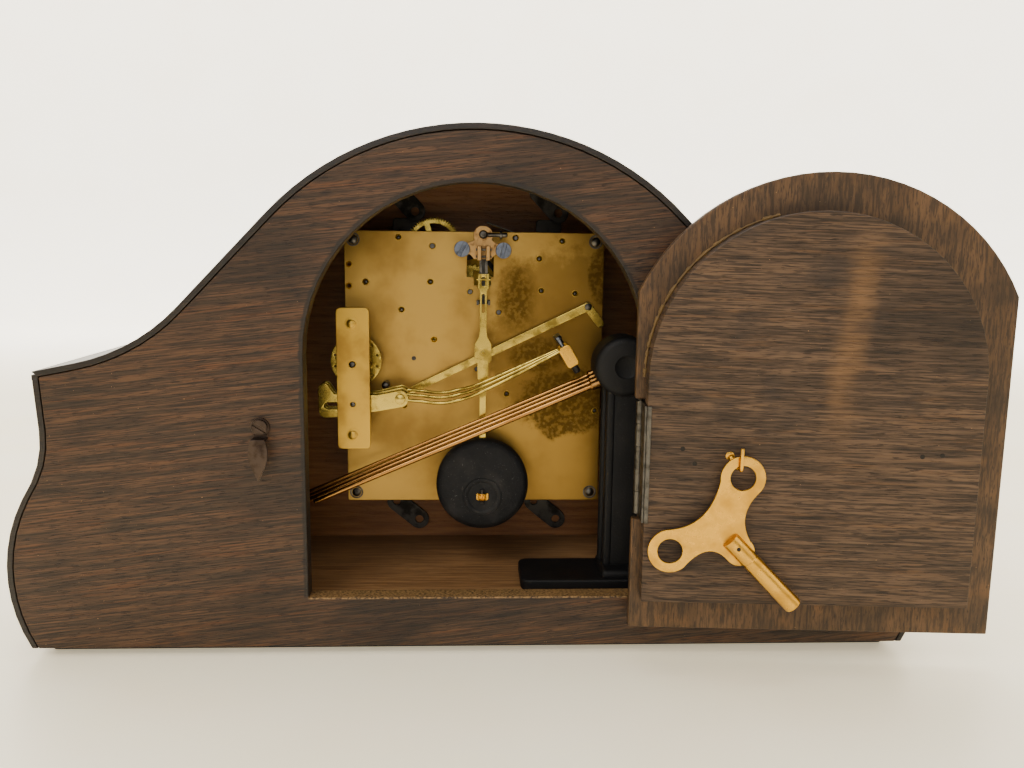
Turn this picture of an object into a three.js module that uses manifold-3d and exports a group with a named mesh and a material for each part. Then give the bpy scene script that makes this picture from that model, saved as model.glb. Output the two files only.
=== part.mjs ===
// A striking mantel clock with a hump-shaped wooden case, seen here with its back door open.
// Millimetres. +X is right and -Y is the dial side when the clock is looked at from the front,
// +Z is up, and the origin is the middle of the plinth's underside.
import * as THREE from "three";
import { mergeVertices } from "three/addons/utils/BufferGeometryUtils.js";
import Module from "manifold-3d";

const wasm = await Module();
wasm.setup();

// ---- Driving dimensions ----

const gap = 0.3; // left between pieces that touch
const degree = Math.PI / 180;

const caseDepth = 111; // outer face of the front board to outer face of the back panel
const bellyHalfWidth = 200; // half the width at the widest point of the curved ends
const caseHeight = 223.6; // underside of the base board to the top of the hump
const plinthHeight = 4;
const plinthInset = 14; // how far the plinth stands back from the ends and faces
const skinThickness = 2.6; // bent plywood over the top and ends
const frontBoardThickness = 13;
const backPanelThickness = 9;
const baseBoardThickness = 18;

const humpRadius = 120;
const humpAngle = 46 * degree; // where the hump's arc gives way to the slope
const shoulderAngle = 11.5 * degree; // fall of the flat shoulders
const shoulderDrop = 102.6; // corner of the shoulder below the top of the hump
const shoulderHeight = caseHeight - shoulderDrop; // the same above the case's underside
const shoulderInset = 16; // corner of the shoulder inside the widest point
const sweepRadius = 82; // hollow between slope and shoulder
const bellyHeight = 33; // widest point above the case's underside
const bellyRadius = 70;
const waistDepth = 17.6; // narrowest point inside the widest point
const waistRadius = 45;

const openingHalfWidth = 72; // arched hole in the back panel
const openingCentreX = 0.8;
const openingArchZ = 132; // centre of the arch's round top
const sillZ = 26.4;

const rimThickness = 4.8; // board that covers the edge of the hole
const rimClearance = 0.9; // closed rim to back panel
const plugThickness = 10; // board that fits into the hole
const plugSideGap = 4.6;
const plugTopGap = 10.5;
const plugBottomGap = 5.8;
const rimHingeMargin = 3.9; // rim past the plug, on the hinge side
const rimFreeMargin = 14.2;
const rimTopMargin = 15.7;
const rimBottomMargin = 15.6;
const rimRise = 48.7; // height of the rim's arched top above its shoulders
const doorOpenAngle = 176 * degree;

const hingeLength = 48.8;
const hingeMiddleZ = 90.7;
const knuckleCount = 5;
const knuckleRadius = 1.9;
const hingePinRadius = 0.8;
const leafThickness = 0.7;
const leafGap = 0.3;

const movementCentreX = 1.2;
const plateWidth = 124;
const plateBottomZ = 53.2;
const plateTopZ = 185;
const plateThickness = 1.8;
const plateSpacing = 34; // inner face to inner face
const strapThickness = 1.8; // straps that hold the movement to the front board
const pillarRadius = 4;
const arborRadius = 1.2;
const dialCentreZ = 119;
const dialRadius = 66;
const dialHoleRadius = 56; // hole in the front board behind the dial
const bezelRadius = 75;
const windingRadius = 2.4;

const pendulumX = -2.8;
const pendulumPivotZ = 172.4;
const bobCentreZ = 65.3;
const bobRadius = 22;
const bobThickness = 12;

const rodCount = 4;
const rodRadius = 1.25;
const rodPitch = 4;
const rodSlope = Math.atan(0.4287);
const rodStart = new THREE.Vector2(-53.2, 117.3);
const rodLengths = [150, 147, 143, 139];
const standBossRadius = 14;
const standBossX = -67.6;
const standBossZ = 124.5;

const hammerCount = 3;
const hammerThickness = 1.2;
const hammerPitch = 4;
const hammerPivot = new THREE.Vector2(57.3, 105.3);
const starCentre = new THREE.Vector2(57.3, 123.9);

// ---- Heights and depths worked out from them ----

const backFaceY = caseDepth / 2;
const frontFaceY = -caseDepth / 2;
const caseBottomZ = plinthHeight;
const floorZ = caseBottomZ + baseBoardThickness;
const humpTopZ = caseBottomZ + caseHeight;
const humpCentreZ = humpTopZ - humpRadius;
const boardBackY = frontFaceY + frontBoardThickness; // inner face of the front board
const shoulderX = bellyHalfWidth - shoulderInset;
const shoulderZ = caseBottomZ + shoulderHeight;

const frontPlateY = boardBackY + gap + strapThickness + gap; // front face of the front plate
const frontPlateInnerY = frontPlateY + plateThickness;
const backPlateInnerY = frontPlateInnerY + plateSpacing;
const backPlateY = backPlateInnerY + plateThickness; // outer face of the back plate

const pendulumY = backPlateY + 11.5; // plane in which the pendulum swings
const rodPlaneY = (index) => pendulumY + 4.5 + index * rodPitch; // rod 0 lies next to the pendulum
const hammerPlaneY = (index) => backPlateY + 11 + index * hammerPitch;

const hingeAxisX = openingCentreX - openingHalfWidth + 2.7;
const hingeAxisY = backFaceY + rimClearance + rimThickness;
const hingeBottomZ = hingeMiddleZ - hingeLength / 2;

// ---- Finishes ----

const finish = (color, roughness, metalness = 0) =>
  new THREE.MeshStandardMaterial({ color, roughness, metalness });
const veneer = finish(0x4a2c1c, 0.5);
const moulding = finish(0x2e1a11, 0.45);
const plainWood = finish(0x9a6a43, 0.8);
const plywood = finish(0x5f3f2a, 0.7);
const plateBrass = finish(0xb08d4c, 0.45, 1);
const polishedBrass = finish(0xd8b04e, 0.25, 1);
const steel = finish(0x6f6c68, 0.4, 1);
const darkSteel = finish(0x3a3632, 0.5, 1);
const castIron = finish(0x17181a, 0.7, 0.4);
const copper = finish(0xb1703f, 0.3, 1);
const silvered = finish(0xd9d6cc, 0.5, 0.6);
const glass = finish(0xdfe8ea, 0.05);

// ---- Solids ----

function toSolid(geometry) {
  const bare = new THREE.BufferGeometry();
  const source = geometry.index ? geometry.toNonIndexed() : geometry;
  bare.setAttribute("position", source.getAttribute("position"));
  const merged = mergeVertices(bare, 1e-4);
  return new wasm.Manifold(
    new wasm.Mesh({
      numProp: 3,
      vertProperties: merged.attributes.position.array,
      triVerts: new Uint32Array(merged.index.array),
    }),
  );
}

function toGeometry(solid) {
  const mesh = solid.getMesh();
  return new THREE.BufferGeometry()
    .setAttribute("position", new THREE.BufferAttribute(mesh.vertProperties, 3))
    .setIndex(new THREE.BufferAttribute(mesh.triVerts, 1));
}

const join = (...geometries) =>
  toGeometry(geometries.map(toSolid).reduce((whole, piece) => whole.add(piece)));

const cut = (body, ...tools) =>
  toGeometry(tools.map(toSolid).reduce((left, tool) => left.subtract(tool), toSolid(body)));

// A flat shape drawn in X and Z, standing between two depths.
function slab(drawn, y0, y1, curveSegments = 8) {
  const { shape: outline, holes } = drawn.extractPoints(curveSegments);
  if (THREE.ShapeUtils.isClockWise(outline)) outline.reverse();
  const shape = new THREE.Shape(outline);
  shape.holes = holes.map((points) => new THREE.Path(points));
  const depth = Math.abs(y1 - y0);
  const geometry = new THREE.ExtrudeGeometry(shape, { depth, bevelEnabled: false });
  return geometry.rotateX(Math.PI / 2).translate(0, Math.max(y0, y1), 0);
}

function box(x0, x1, y0, y1, z0, z1) {
  return new THREE.BoxGeometry(Math.abs(x1 - x0), Math.abs(y1 - y0), Math.abs(z1 - z0)).translate(
    (x0 + x1) / 2,
    (y0 + y1) / 2,
    (z0 + z1) / 2,
  );
}

// A round bar along Y.
function bar(radius, y0, y1, x, z, segments = 12) {
  return new THREE.CylinderGeometry(radius, radius, Math.abs(y1 - y0), segments).translate(
    x,
    (y0 + y1) / 2,
    z,
  );
}

// A round bar along Z.
function post(radius, z0, z1, x, y, segments = 12) {
  return new THREE.CylinderGeometry(radius, radius, Math.abs(z1 - z0), segments)
    .rotateX(Math.PI / 2)
    .translate(x, y, (z0 + z1) / 2);
}

// A solid of revolution about an axis along Y; its profile is pairs of radius and depth.
function turned(profile, x, z, segments = 32) {
  const points = profile.map(([radius, y]) => new THREE.Vector2(radius, y));
  return new THREE.LatheGeometry(points, segments).translate(x, 0, z);
}

// A flat bar with round ends between two points in X and Z.
function capsule(ax, az, bx, bz, radius, y0, y1, segments = 5) {
  const angle = Math.atan2(bz - az, bx - ax);
  const shape = new THREE.Shape();
  shape.absarc(bx, bz, radius, angle - Math.PI / 2, angle + Math.PI / 2, false);
  shape.absarc(ax, az, radius, angle + Math.PI / 2, angle + (3 * Math.PI) / 2, false);
  return slab(shape, y0, y1, segments);
}

// A round wire along a smooth path.
function wire(points, radius, steps = 14, sides = 8) {
  const section = new THREE.Shape();
  section.absarc(0, 0, radius, 0, 2 * Math.PI, false);
  const path = new THREE.CatmullRomCurve3(points.map((p) => new THREE.Vector3(...p)));
  return new THREE.ExtrudeGeometry(section, {
    steps,
    extrudePath: path,
    bevelEnabled: false,
    curveSegments: sides / 2,
  });
}

function circleHole(x, z, radius) {
  const hole = new THREE.Path();
  hole.absarc(x, z, radius, 0, 2 * Math.PI, true);
  return hole;
}

function rectangle(x0, x1, z0, z1) {
  const shape = new THREE.Shape();
  shape.moveTo(x0, z0);
  shape.lineTo(x1, z0);
  shape.lineTo(x1, z1);
  shape.lineTo(x0, z1);
  return shape;
}

// ---- The object's tree ----

const clock = new THREE.Group();
const backDoor = new THREE.Group();
backDoor.position.set(hingeAxisX, hingeAxisY, 0);
backDoor.rotation.z = doorOpenAngle;
clock.add(backDoor);

function addPart(name, geometry, material, group = clock) {
  const mesh = new THREE.Mesh(geometry, material);
  mesh.name = name;
  group.add(mesh);
}

// The door's pieces are drawn where they lie when it is shut.
function addDoorPart(name, geometry, material) {
  addPart(name, geometry.translate(-hingeAxisX, -hingeAxisY, 0), material, backDoor);
}

// ---- Case outline ----

// Half-width of the curved ends at a height: a round belly, a hollow waist and a straight lip.
const waistX = bellyHalfWidth - waistDepth;
const bellyCentreX = bellyHalfWidth - bellyRadius;
const waistCentreX = waistX + waistRadius;
const waistZ =
  caseBottomZ +
  bellyHeight +
  Math.sqrt((bellyRadius + waistRadius) ** 2 - (waistCentreX - bellyCentreX) ** 2);
const bellyZ = caseBottomZ + bellyHeight;
const turnZ = bellyZ + ((waistZ - bellyZ) * bellyRadius) / (bellyRadius + waistRadius);

function endHalfWidth(z) {
  if (z < turnZ) return bellyCentreX + Math.sqrt(bellyRadius ** 2 - (z - bellyZ) ** 2);
  if (z < waistZ) return waistCentreX - Math.sqrt(waistRadius ** 2 - (z - waistZ) ** 2);
  return waistX + ((shoulderX - waistX) * (z - waistZ)) / (shoulderZ - waistZ);
}

// Points up one end from a height to another, moved inwards.
function endProfile(inset, z0, z1, count) {
  return Array.from({ length: count + 1 }, (_, i) => {
    const z = z0 + ((z1 - z0) * i) / count;
    return [endHalfWidth(z) - inset, z];
  });
}

// Points from the shoulder's corner up to the top of the hump, moved inwards.
function topProfile(inset) {
  const normal = (angle) => [Math.sin(angle), Math.cos(angle)];
  const tangentX = humpRadius * Math.sin(humpAngle);
  const tangentZ = humpCentreZ + humpRadius * Math.cos(humpAngle);
  const slopeFall = Math.tan(humpAngle);
  const shoulderFall = Math.tan(shoulderAngle);
  const meetX =
    (tangentZ + tangentX * slopeFall - shoulderZ - shoulderX * shoulderFall) /
    (slopeFall - shoulderFall);
  const meetZ = shoulderZ + (shoulderX - meetX) * shoulderFall;
  const turn = Math.tan((humpAngle - shoulderAngle) / 2);
  const room = Math.min(
    Math.hypot(shoulderX - meetX, shoulderZ - meetZ),
    Math.hypot(meetX - tangentX, meetZ - tangentZ),
  );
  const radius = Math.min(sweepRadius, (0.98 * room) / turn);
  const [ax, az] = normal(humpAngle);
  const [bx, bz] = normal(shoulderAngle);
  const reach = radius / (1 + ax * bx + az * bz);
  const centreX = meetX + reach * (ax + bx);
  const centreZ = meetZ + reach * (az + bz);
  const points = [
    [shoulderX - inset, shoulderZ - inset / Math.cos(shoulderAngle) + inset * shoulderFall],
  ];
  const sweepSteps = 7;
  for (let i = 0; i <= sweepSteps; i++) {
    const [nx, nz] = normal(shoulderAngle + ((humpAngle - shoulderAngle) * i) / sweepSteps);
    points.push([centreX - (radius + inset) * nx, centreZ - (radius + inset) * nz]);
  }
  const humpSteps = 13;
  for (let i = 0; i <= humpSteps; i++) {
    const [nx, nz] = normal(humpAngle * (1 - i / humpSteps));
    points.push([(humpRadius - inset) * nx, humpCentreZ + (humpRadius - inset) * nz]);
  }
  return points;
}

const mirrored = (points) => points.map(([x, z]) => [-x, z]).reverse();
const closedShape = (points) => new THREE.Shape(points.map(([x, z]) => new THREE.Vector2(x, z)));

function caseOutline(inset) {
  const top = topProfile(inset);
  const lipZ = shoulderZ - inset / Math.cos(shoulderAngle);
  const end = endProfile(inset, caseBottomZ, lipZ - gap, 16);
  const half = [...end, ...top];
  return closedShape([...half, ...mirrored(half).slice(1)]);
}

// ---- Case ----

const seatInset = skinThickness + gap; // boards that sit inside the skin
const wallY0 = boardBackY + gap;

function addCase() {
  const front = caseOutline(0);
  front.holes.push(circleHole(0, dialCentreZ, dialHoleRadius));
  addPart("front_board", slab(front, frontFaceY, boardBackY, 20), veneer);

  const overTop = (half) => [...half, ...mirrored(half).slice(1)];
  const topBand = [...overTop(topProfile(0)), ...overTop(topProfile(skinThickness)).reverse()];
  addPart("top_skin", slab(closedShape(topBand), wallY0, backFaceY), moulding);

  const endTopZ = shoulderZ - skinThickness / Math.cos(shoulderAngle) - gap;
  const endOuter = endProfile(0, caseBottomZ, endTopZ, 16);
  const endInner = endProfile(skinThickness, caseBottomZ, endTopZ, 16);
  const rightEnd = [...endOuter, ...endInner.reverse()];
  addPart("end_skin_right", slab(closedShape(rightEnd), wallY0, backFaceY), moulding);
  addPart("end_skin_left", slab(closedShape(mirrored(rightEnd)), wallY0, backFaceY), moulding);

  const panelFrontY = backFaceY - backPanelThickness;
  const baseEnd = endProfile(seatInset, caseBottomZ, floorZ, 5);
  const base = closedShape([...baseEnd, ...mirrored(baseEnd)]);
  addPart("base_board", slab(base, wallY0, panelFrontY - gap), plainWood);

  const plinthX = bellyHalfWidth - plinthInset;
  const plinthY = backFaceY - plinthInset / 2;
  addPart("plinth", box(-plinthX, plinthX, -plinthY, plinthY, 0, plinthHeight - gap), moulding);

  const back = caseOutline(seatInset);
  const hole = new THREE.Path();
  hole.moveTo(openingCentreX - openingHalfWidth, sillZ);
  hole.lineTo(openingCentreX - openingHalfWidth, openingArchZ);
  hole.absarc(openingCentreX, openingArchZ, openingHalfWidth, Math.PI, 0, true);
  hole.lineTo(openingCentreX + openingHalfWidth, sillZ);
  back.holes.push(hole);
  addPart("back_panel", slab(back, panelFrontY, backFaceY, 14), veneer);
}

// ---- Back door, its hinge, its catch and the key ----

const plugHalfWidth = openingHalfWidth - plugSideGap;
const plugCentreX = hingeAxisX + 1.1 + plugHalfWidth;
const plugTopZ = openingArchZ + openingHalfWidth - plugTopGap;
const plugBottomZ = sillZ + plugBottomGap;
const plugInnerY = hingeAxisY - rimThickness - plugThickness;
const rimLeftX = plugCentreX - plugHalfWidth - rimHingeMargin;
const rimRightX = plugCentreX + plugHalfWidth + rimFreeMargin;

// An arched board: straight sides and a round top that starts at the shoulders.
function archedShape(x0, x1, bottomZ, topZ, rise) {
  const half = (x1 - x0) / 2;
  const radius = (half ** 2 + rise ** 2) / (2 * rise);
  const spread = Math.asin(Math.min(1, half / radius));
  const shape = new THREE.Shape();
  shape.moveTo(x0, bottomZ);
  shape.lineTo(x1, bottomZ);
  shape.absarc((x0 + x1) / 2, topZ - radius, radius, Math.PI / 2 - spread, Math.PI / 2 + spread, false);
  return shape;
}

const hingeTopZ = hingeBottomZ + hingeLength;

// One leaf of the butt hinge: a plate and the knuckles that belong to it.
function hingeLeaf(x0, y0, knuckles) {
  const pitch = hingeLength / knuckleCount;
  const rootY = hingeAxisY - knuckleRadius - 0.4;
  const pieces = [box(x0, x0 + leafThickness, y0, rootY, hingeBottomZ, hingeTopZ)];
  for (const index of knuckles) {
    const z0 = hingeBottomZ + index * pitch + 0.1;
    const z1 = z0 + pitch - 0.2;
    pieces.push(post(knuckleRadius, z0, z1, hingeAxisX, hingeAxisY));
    pieces.push(box(x0, x0 + leafThickness, rootY - 1, hingeAxisY, z0, z1));
  }
  const bore = post(hingePinRadius + 0.08, hingeBottomZ - 1, hingeTopZ + 1, hingeAxisX, hingeAxisY);
  return cut(join(...pieces), bore);
}

function addDoor() {
  const jambX = openingCentreX - openingHalfWidth;
  const leafY = backFaceY - backPanelThickness + 0.5;
  addPart("hinge_jamb_leaf", hingeLeaf(jambX + leafGap, leafY, [0, 2, 4]), steel);
  const pin = post(hingePinRadius, hingeBottomZ - 0.6, hingeTopZ + 0.6, hingeAxisX, hingeAxisY);
  addPart("hinge_pin", pin, steel);

  const plugX = plugCentreX - plugHalfWidth;
  const rimFront = hingeAxisY - rimThickness;
  const rim = slab(
    archedShape(rimLeftX, rimRightX, plugBottomZ - rimBottomMargin, plugTopZ + rimTopMargin, rimRise),
    rimFront,
    hingeAxisY,
    14,
  );
  const notchRoom = 1.4; // around the knuckles
  const notch = box(
    rimLeftX - 1,
    hingeAxisX + knuckleRadius + 1,
    rimFront - 1,
    hingeAxisY + 1,
    hingeBottomZ - notchRoom,
    hingeBottomZ + hingeLength + notchRoom,
  );
  addDoorPart("door_rim", cut(rim, notch), veneer);

  const plug = archedShape(plugX, plugX + 2 * plugHalfWidth, plugBottomZ, plugTopZ, plugHalfWidth);
  addDoorPart("door_plug", slab(plug, plugInnerY, rimFront - gap, 14), plywood);
  addDoorPart(
    "hinge_door_leaf",
    hingeLeaf(plugX - leafGap - leafThickness, plugInnerY + 0.3, [1, 3]),
    steel,
  );
}

// The turn button hangs beside the hole and swings over the shut door's rim.
function addTurnButton() {
  const x = 91;
  const z = 102.3;
  const headRadius = 3.6;
  const footY = backFaceY + gap;
  const bladeY = hingeAxisY + 0.4;
  const thickness = 1;
  const blade = new THREE.Shape();
  blade.moveTo(x - 2.6, z - 4.2);
  blade.quadraticCurveTo(x - 5, z - 12, x, z - 22.6);
  blade.quadraticCurveTo(x + 5, z - 12, x + 2.6, z - 4.2);
  const button = join(
    bar(3.9, footY, footY + thickness, x, z, 16),
    box(x - 2.4, x + 2.4, footY, footY + thickness, z - 5, z),
    box(x - 2.4, x + 2.4, footY, bladeY + thickness, z - 5.2, z - 4.2),
    slab(blade, bladeY, bladeY + thickness, 6),
  );
  const shankRadius = 1.5;
  const seat = bar(shankRadius + 0.1, footY - 1, bladeY + 5, x, z);
  addPart("turn_button", cut(button, seat), darkSteel);

  const headY = footY + thickness + gap;
  const screw = turned(
    [
      [0, footY],
      [shankRadius, footY],
      [shankRadius, headY],
      [headRadius, headY],
      [headRadius - 0.6, headY + 1.3],
      [headRadius - 1.9, headY + 2],
      [0, headY + 2.2],
    ],
    x,
    z,
    16,
  );
  const slot = box(x - 5, x + 5, headY + 1.2, headY + 4, z - 0.45, z + 0.45);
  addPart("turn_button_screw", cut(screw, slot), darkSteel);
}

const keyPlaneY = plugInnerY - 3.9;
const keyThickness = 1.2;
const keyRingRadius = 9.1;
const keyHoleRadius = 5.1;
const keyBarrelRadius = 3.6;
const keySlotLength = 6.6; // how deep the plate sits in the barrel

// The key's points are measured along the door from its hinge axis.
const fromHinge = (along, z) => [hingeAxisX + along, z];

function addKey() {
  const [ring1X, ring1Z] = fromHinge(39.8, 87.2);
  const [ring2X, ring2Z] = fromHinge(11.6, 56.1);
  const [lobeX, lobeZ] = fromHinge(40.7, 55.7);
  const [barrelX, barrelZ] = fromHinge(35, 61.6);
  const lobeRadius = 6.6;
  const barrelLength = 38.7;
  const barrelAngle = -45.5 * degree;

  const on = (x, z, radius, angle) => [x + radius * Math.cos(angle), z + radius * Math.sin(angle)];
  const plate = new THREE.Shape();
  plate.moveTo(...on(ring1X, ring1Z, keyRingRadius, 188 * degree));
  plate.absarc(ring1X, ring1Z, keyRingRadius, 188 * degree, -35 * degree, true);
  plate.quadraticCurveTo(...fromHinge(37.5, 72), ...on(lobeX, lobeZ, lobeRadius, 48 * degree));
  plate.absarc(lobeX, lobeZ, lobeRadius, 48 * degree, -140 * degree, true);
  plate.quadraticCurveTo(...fromHinge(27, 61.5), ...on(ring2X, ring2Z, keyRingRadius, -50 * degree));
  plate.absarc(ring2X, ring2Z, keyRingRadius, -50 * degree, -258 * degree, true);
  plate.quadraticCurveTo(...fromHinge(27, 66), ...on(ring1X, ring1Z, keyRingRadius, 188 * degree));
  plate.holes.push(circleHole(ring1X, ring1Z, keyHoleRadius), circleHole(ring2X, ring2Z, keyHoleRadius));

  // A piece drawn along X from the barrel's slotted end, laid along the barrel.
  const laid = (geometry) => geometry.rotateY(-barrelAngle).translate(barrelX, keyPlaneY, barrelZ);
  const mouth = laid(
    box(keySlotLength, barrelLength, -5, 5, -keyBarrelRadius - gap, keyBarrelRadius + gap),
  );
  const plateSlab = slab(plate, keyPlaneY - keyThickness / 2, keyPlaneY + keyThickness / 2, 12);
  addDoorPart("key_plate", cut(plateSlab, mouth), polishedBrass);

  const barrel = new THREE.CylinderGeometry(keyBarrelRadius, keyBarrelRadius - 0.3, barrelLength, 20)
    .rotateZ(-Math.PI / 2)
    .translate(barrelLength / 2, 0, 0);
  const halfSlot = keyThickness / 2 + gap;
  const slot = box(-1, keySlotLength + gap, -halfSlot, halfSlot, -5, 5);
  const square = box(barrelLength - 12, barrelLength + 1, -2, 2, -2, 2);
  const pinHole = bar(0.7, -5, 5, 4.2, 0, 8);
  addDoorPart("key_barrel", laid(cut(barrel, slot, square, pinHole)), polishedBrass);

  // A screw hook: out of the plug, down through the ring, and up again to a blunt tip.
  const hook = [
    [35, plugInnerY - gap, 95.2],
    [35.3, plugInnerY - 1.5, 94.6],
    [37.3, plugInnerY - 1.8, 91.2],
    [38.5, plugInnerY - 2.5, 90.6],
    [38.6, keyPlaneY, 90.5],
    [38.6, keyPlaneY - 1.4, 90.7],
    [38.5, keyPlaneY - 2.1, 92.2],
    [38.5, keyPlaneY - 2.3, 99.6],
  ].map(([along, y, z]) => [hingeAxisX + along, y, z]);
  addDoorPart("key_hook", wire(hook, 0.75, 20, 8), polishedBrass);
}

// ---- Gong: a cast stand and four rods ----

function addGong() {
  const y0 = rodPlaneY(0) - 4;
  const y1 = rodPlaneY(rodCount - 1) + 4;
  const columnY0 = y0 + 1;
  const footTopZ = floorZ + gap + 5;
  const foot = new THREE.Shape();
  foot.moveTo(-82, -y0);
  foot.lineTo(-82, -y1 - 10);
  foot.lineTo(-20.5, -y1 - 10);
  foot.lineTo(-20.5, -y0 - 6);
  foot.quadraticCurveTo(-20.5, -y0, -26.5, -y0);
  const footGeometry = new THREE.ExtrudeGeometry(foot, { depth: 5, bevelEnabled: false, curveSegments: 4 })
    .rotateX(Math.PI)
    .translate(0, 0, footTopZ);
  const stand = join(
    footGeometry,
    box(-78, -61, columnY0, y1 - 2, footTopZ - 2, standBossZ),
    box(-66, -58.5, columnY0 + 4, columnY0 + 9, footTopZ - 2, standBossZ - 6),
    turned(
      [
        [0, y0],
        [standBossRadius - 1.5, y0],
        [standBossRadius, y0 + 1.5],
        [standBossRadius, y1 - 1.5],
        [standBossRadius - 1.5, y1],
        [0, y1],
      ],
      standBossX,
      standBossZ,
      28,
    ),
  );
  addPart("gong_stand", stand, castIron);

  const dx = Math.cos(rodSlope);
  const dz = -Math.sin(rodSlope);
  for (let index = 0; index < rodCount; index++) {
    const length = rodLengths[index];
    const rod = new THREE.CylinderGeometry(rodRadius, rodRadius, length, 8)
      .rotateZ(-Math.PI / 2)
      .translate(length / 2, 0, 0)
      .rotateY(rodSlope)
      .translate(rodStart.x + gap * dx, rodPlaneY(index), rodStart.y + gap * dz);
    addPart("gong_rod_" + (rodCount - index), rod, copper);
  }
}

// ---- Movement frame ----

const plateX0 = movementCentreX - plateWidth / 2;
const plateX1 = movementCentreX + plateWidth / 2;
const pillarInset = 4.2;
const barrelSpread = 35.3; // each winding arbor beside the dial's centre
const barrelZ = 86;
const timeBarrelX = -barrelSpread;
const strikeBarrelX = barrelSpread;

// Where each arbor of the two trains turns, as X and Z.
const arbor = {
  timeSecond: [-14.6, 106.9],
  centre: [0, dialCentreZ],
  third: [-10.4, 146.7],
  escape: [3.5, 156.5],
  anchor: [pendulumX, pendulumPivotZ + 1.6],
  strikeSecond: [43.8, 111.5],
  star: [starCentre.x, starCentre.y],
  strikeThird: [30.5, 124.2],
  warning: [21.5, 178],
  fly: [-18.1, 182.2],
};

// Spare holes of the back plate: oiling holes and pivots of levers that aren't modelled.
const spareHoles = [
  [37.5, 182],
  [-40.4, 181],
  [-29.6, 172.5],
  [61, 169.1],
  [61.2, 158.8],
  [53.2, 160.8],
  [22.5, 161.1],
  [-30.8, 157.3],
  [-47.2, 156.1],
  [20.7, 133.4],
  [36.3, 147.7],
  [35.3, 101],
];

function addPlates() {
  const pillars = [];
  for (const x of [plateX0 + pillarInset, plateX1 - pillarInset])
    for (const z of [plateBottomZ + pillarInset, plateTopZ - pillarInset])
      pillars.push(bar(pillarRadius, frontPlateInnerY - 0.5, backPlateInnerY - gap, x, z, 10));
  const front = rectangle(plateX0, plateX1, plateBottomZ, plateTopZ);
  const wide = [arbor.centre, [timeBarrelX, barrelZ], [strikeBarrelX, barrelZ]];
  for (const [x, z] of wide) front.holes.push(circleHole(x, z, windingRadius + 0.2));
  const frontPlate = slab(front, frontPlateY, frontPlateInnerY, 6);
  addPart("front_plate", join(frontPlate, ...pillars), plateBrass);

  const back = rectangle(plateX0, plateX1, plateBottomZ, plateTopZ);
  const window = new THREE.Path();
  window.moveTo(-7.7, plateTopZ - 9.6);
  window.lineTo(5, plateTopZ - 9.6);
  window.lineTo(5, 163.6);
  window.lineTo(1.6, 163.6);
  window.lineTo(1.6, 159.6);
  window.lineTo(-6.4, 159.6);
  window.lineTo(-6.4, 163.6);
  window.lineTo(-7.7, 163.6);
  back.holes.push(window);
  const pivots = Object.entries(arbor).filter(([name]) => name !== "anchor");
  for (const [, [x, z]] of pivots) back.holes.push(circleHole(x, z, arborRadius + 0.3));
  for (const [x, z] of spareHoles) back.holes.push(circleHole(x, z, 1.3));
  for (const x of [timeBarrelX, strikeBarrelX]) back.holes.push(circleHole(x, barrelZ, windingRadius + 0.2));
  addPart("back_plate", slab(back, backPlateInnerY, backPlateY, 4), plateBrass);

  for (const [name, x] of [["mounting_strap_left", -37], ["mounting_strap_right", 37]]) {
    const strap = rectangle(x - 7, x + 7, 31, 206);
    strap.holes.push(circleHole(Math.sign(x) * barrelSpread, barrelZ, windingRadius + 1.6));
    for (const z of [37, 200]) strap.holes.push(circleHole(x, z, 2));
    addPart(name, slab(strap, boardBackY + gap, boardBackY + gap + strapThickness, 5), steel);
  }
}

// The cock stands on two feet over the plate's window and holds the suspension spring.
function addCock() {
  const topY = backPlateY + 8;
  const screws = [
    [7.3, 176.8],
    [-12.1, 176.3],
  ];
  const feet = screws.map(([x, z]) => bar(2.6, backPlateY + gap, topY - 1, x, z, 10));
  const lug = new THREE.Shape();
  lug.moveTo(-14.8, 174);
  lug.lineTo(-8.5, 172.9);
  lug.lineTo(3.8, 172.9);
  lug.lineTo(10, 174.2);
  lug.lineTo(10.2, 179.3);
  lug.lineTo(4.4, 180.4);
  lug.absarc(-2.4, 183, 5.2, -0.35, Math.PI + 0.35, false);
  lug.lineTo(-14.8, 179);
  const block = box(pendulumX - 3, pendulumX + 3, topY - 0.5, pendulumY + 2, pendulumPivotZ + 0.3, 178);
  addPart("suspension_cock", join(slab(lug, topY - 1.3, topY, 6), block, ...feet), copper);
}

// A strap on two posts that carries the outer pivots of the star wheel and the hammers.
function addHammerBridge() {
  const outerY = hammerPlaneY(hammerCount - 1) + 3.2;
  const thickness = 1.6;
  const x0 = 49.3;
  const x1 = 64.4;
  const z0 = 84.3;
  const z1 = 150;
  const r = 2;
  const strap = new THREE.Shape();
  strap.absarc(x1 - r, z0 + r, r, -Math.PI / 2, 0, false);
  strap.absarc(x1 - r, z1 - r, r, 0, Math.PI / 2, false);
  strap.absarc(x0 + r, z1 - r, r, Math.PI / 2, Math.PI, false);
  strap.absarc(x0 + r, z0 + r, r, Math.PI, 1.5 * Math.PI, false);
  strap.holes.push(circleHole(starCentre.x, starCentre.y, 1.7));
  strap.holes.push(circleHole(hammerPivot.x, hammerPivot.y, 1.5));
  const posts = [];
  for (const z of [91, 142.6]) {
    posts.push(bar(3, backPlateY + gap, outerY - thickness + 0.2, 57.3, z, 10));
    posts.push(bar(2.1, outerY - 1, outerY + 1, 57.3, z, 10));
  }
  addPart("hammer_bridge", join(slab(strap, outerY - thickness, outerY, 4), ...posts), plateBrass);
}

// ---- Wheels ----

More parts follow.
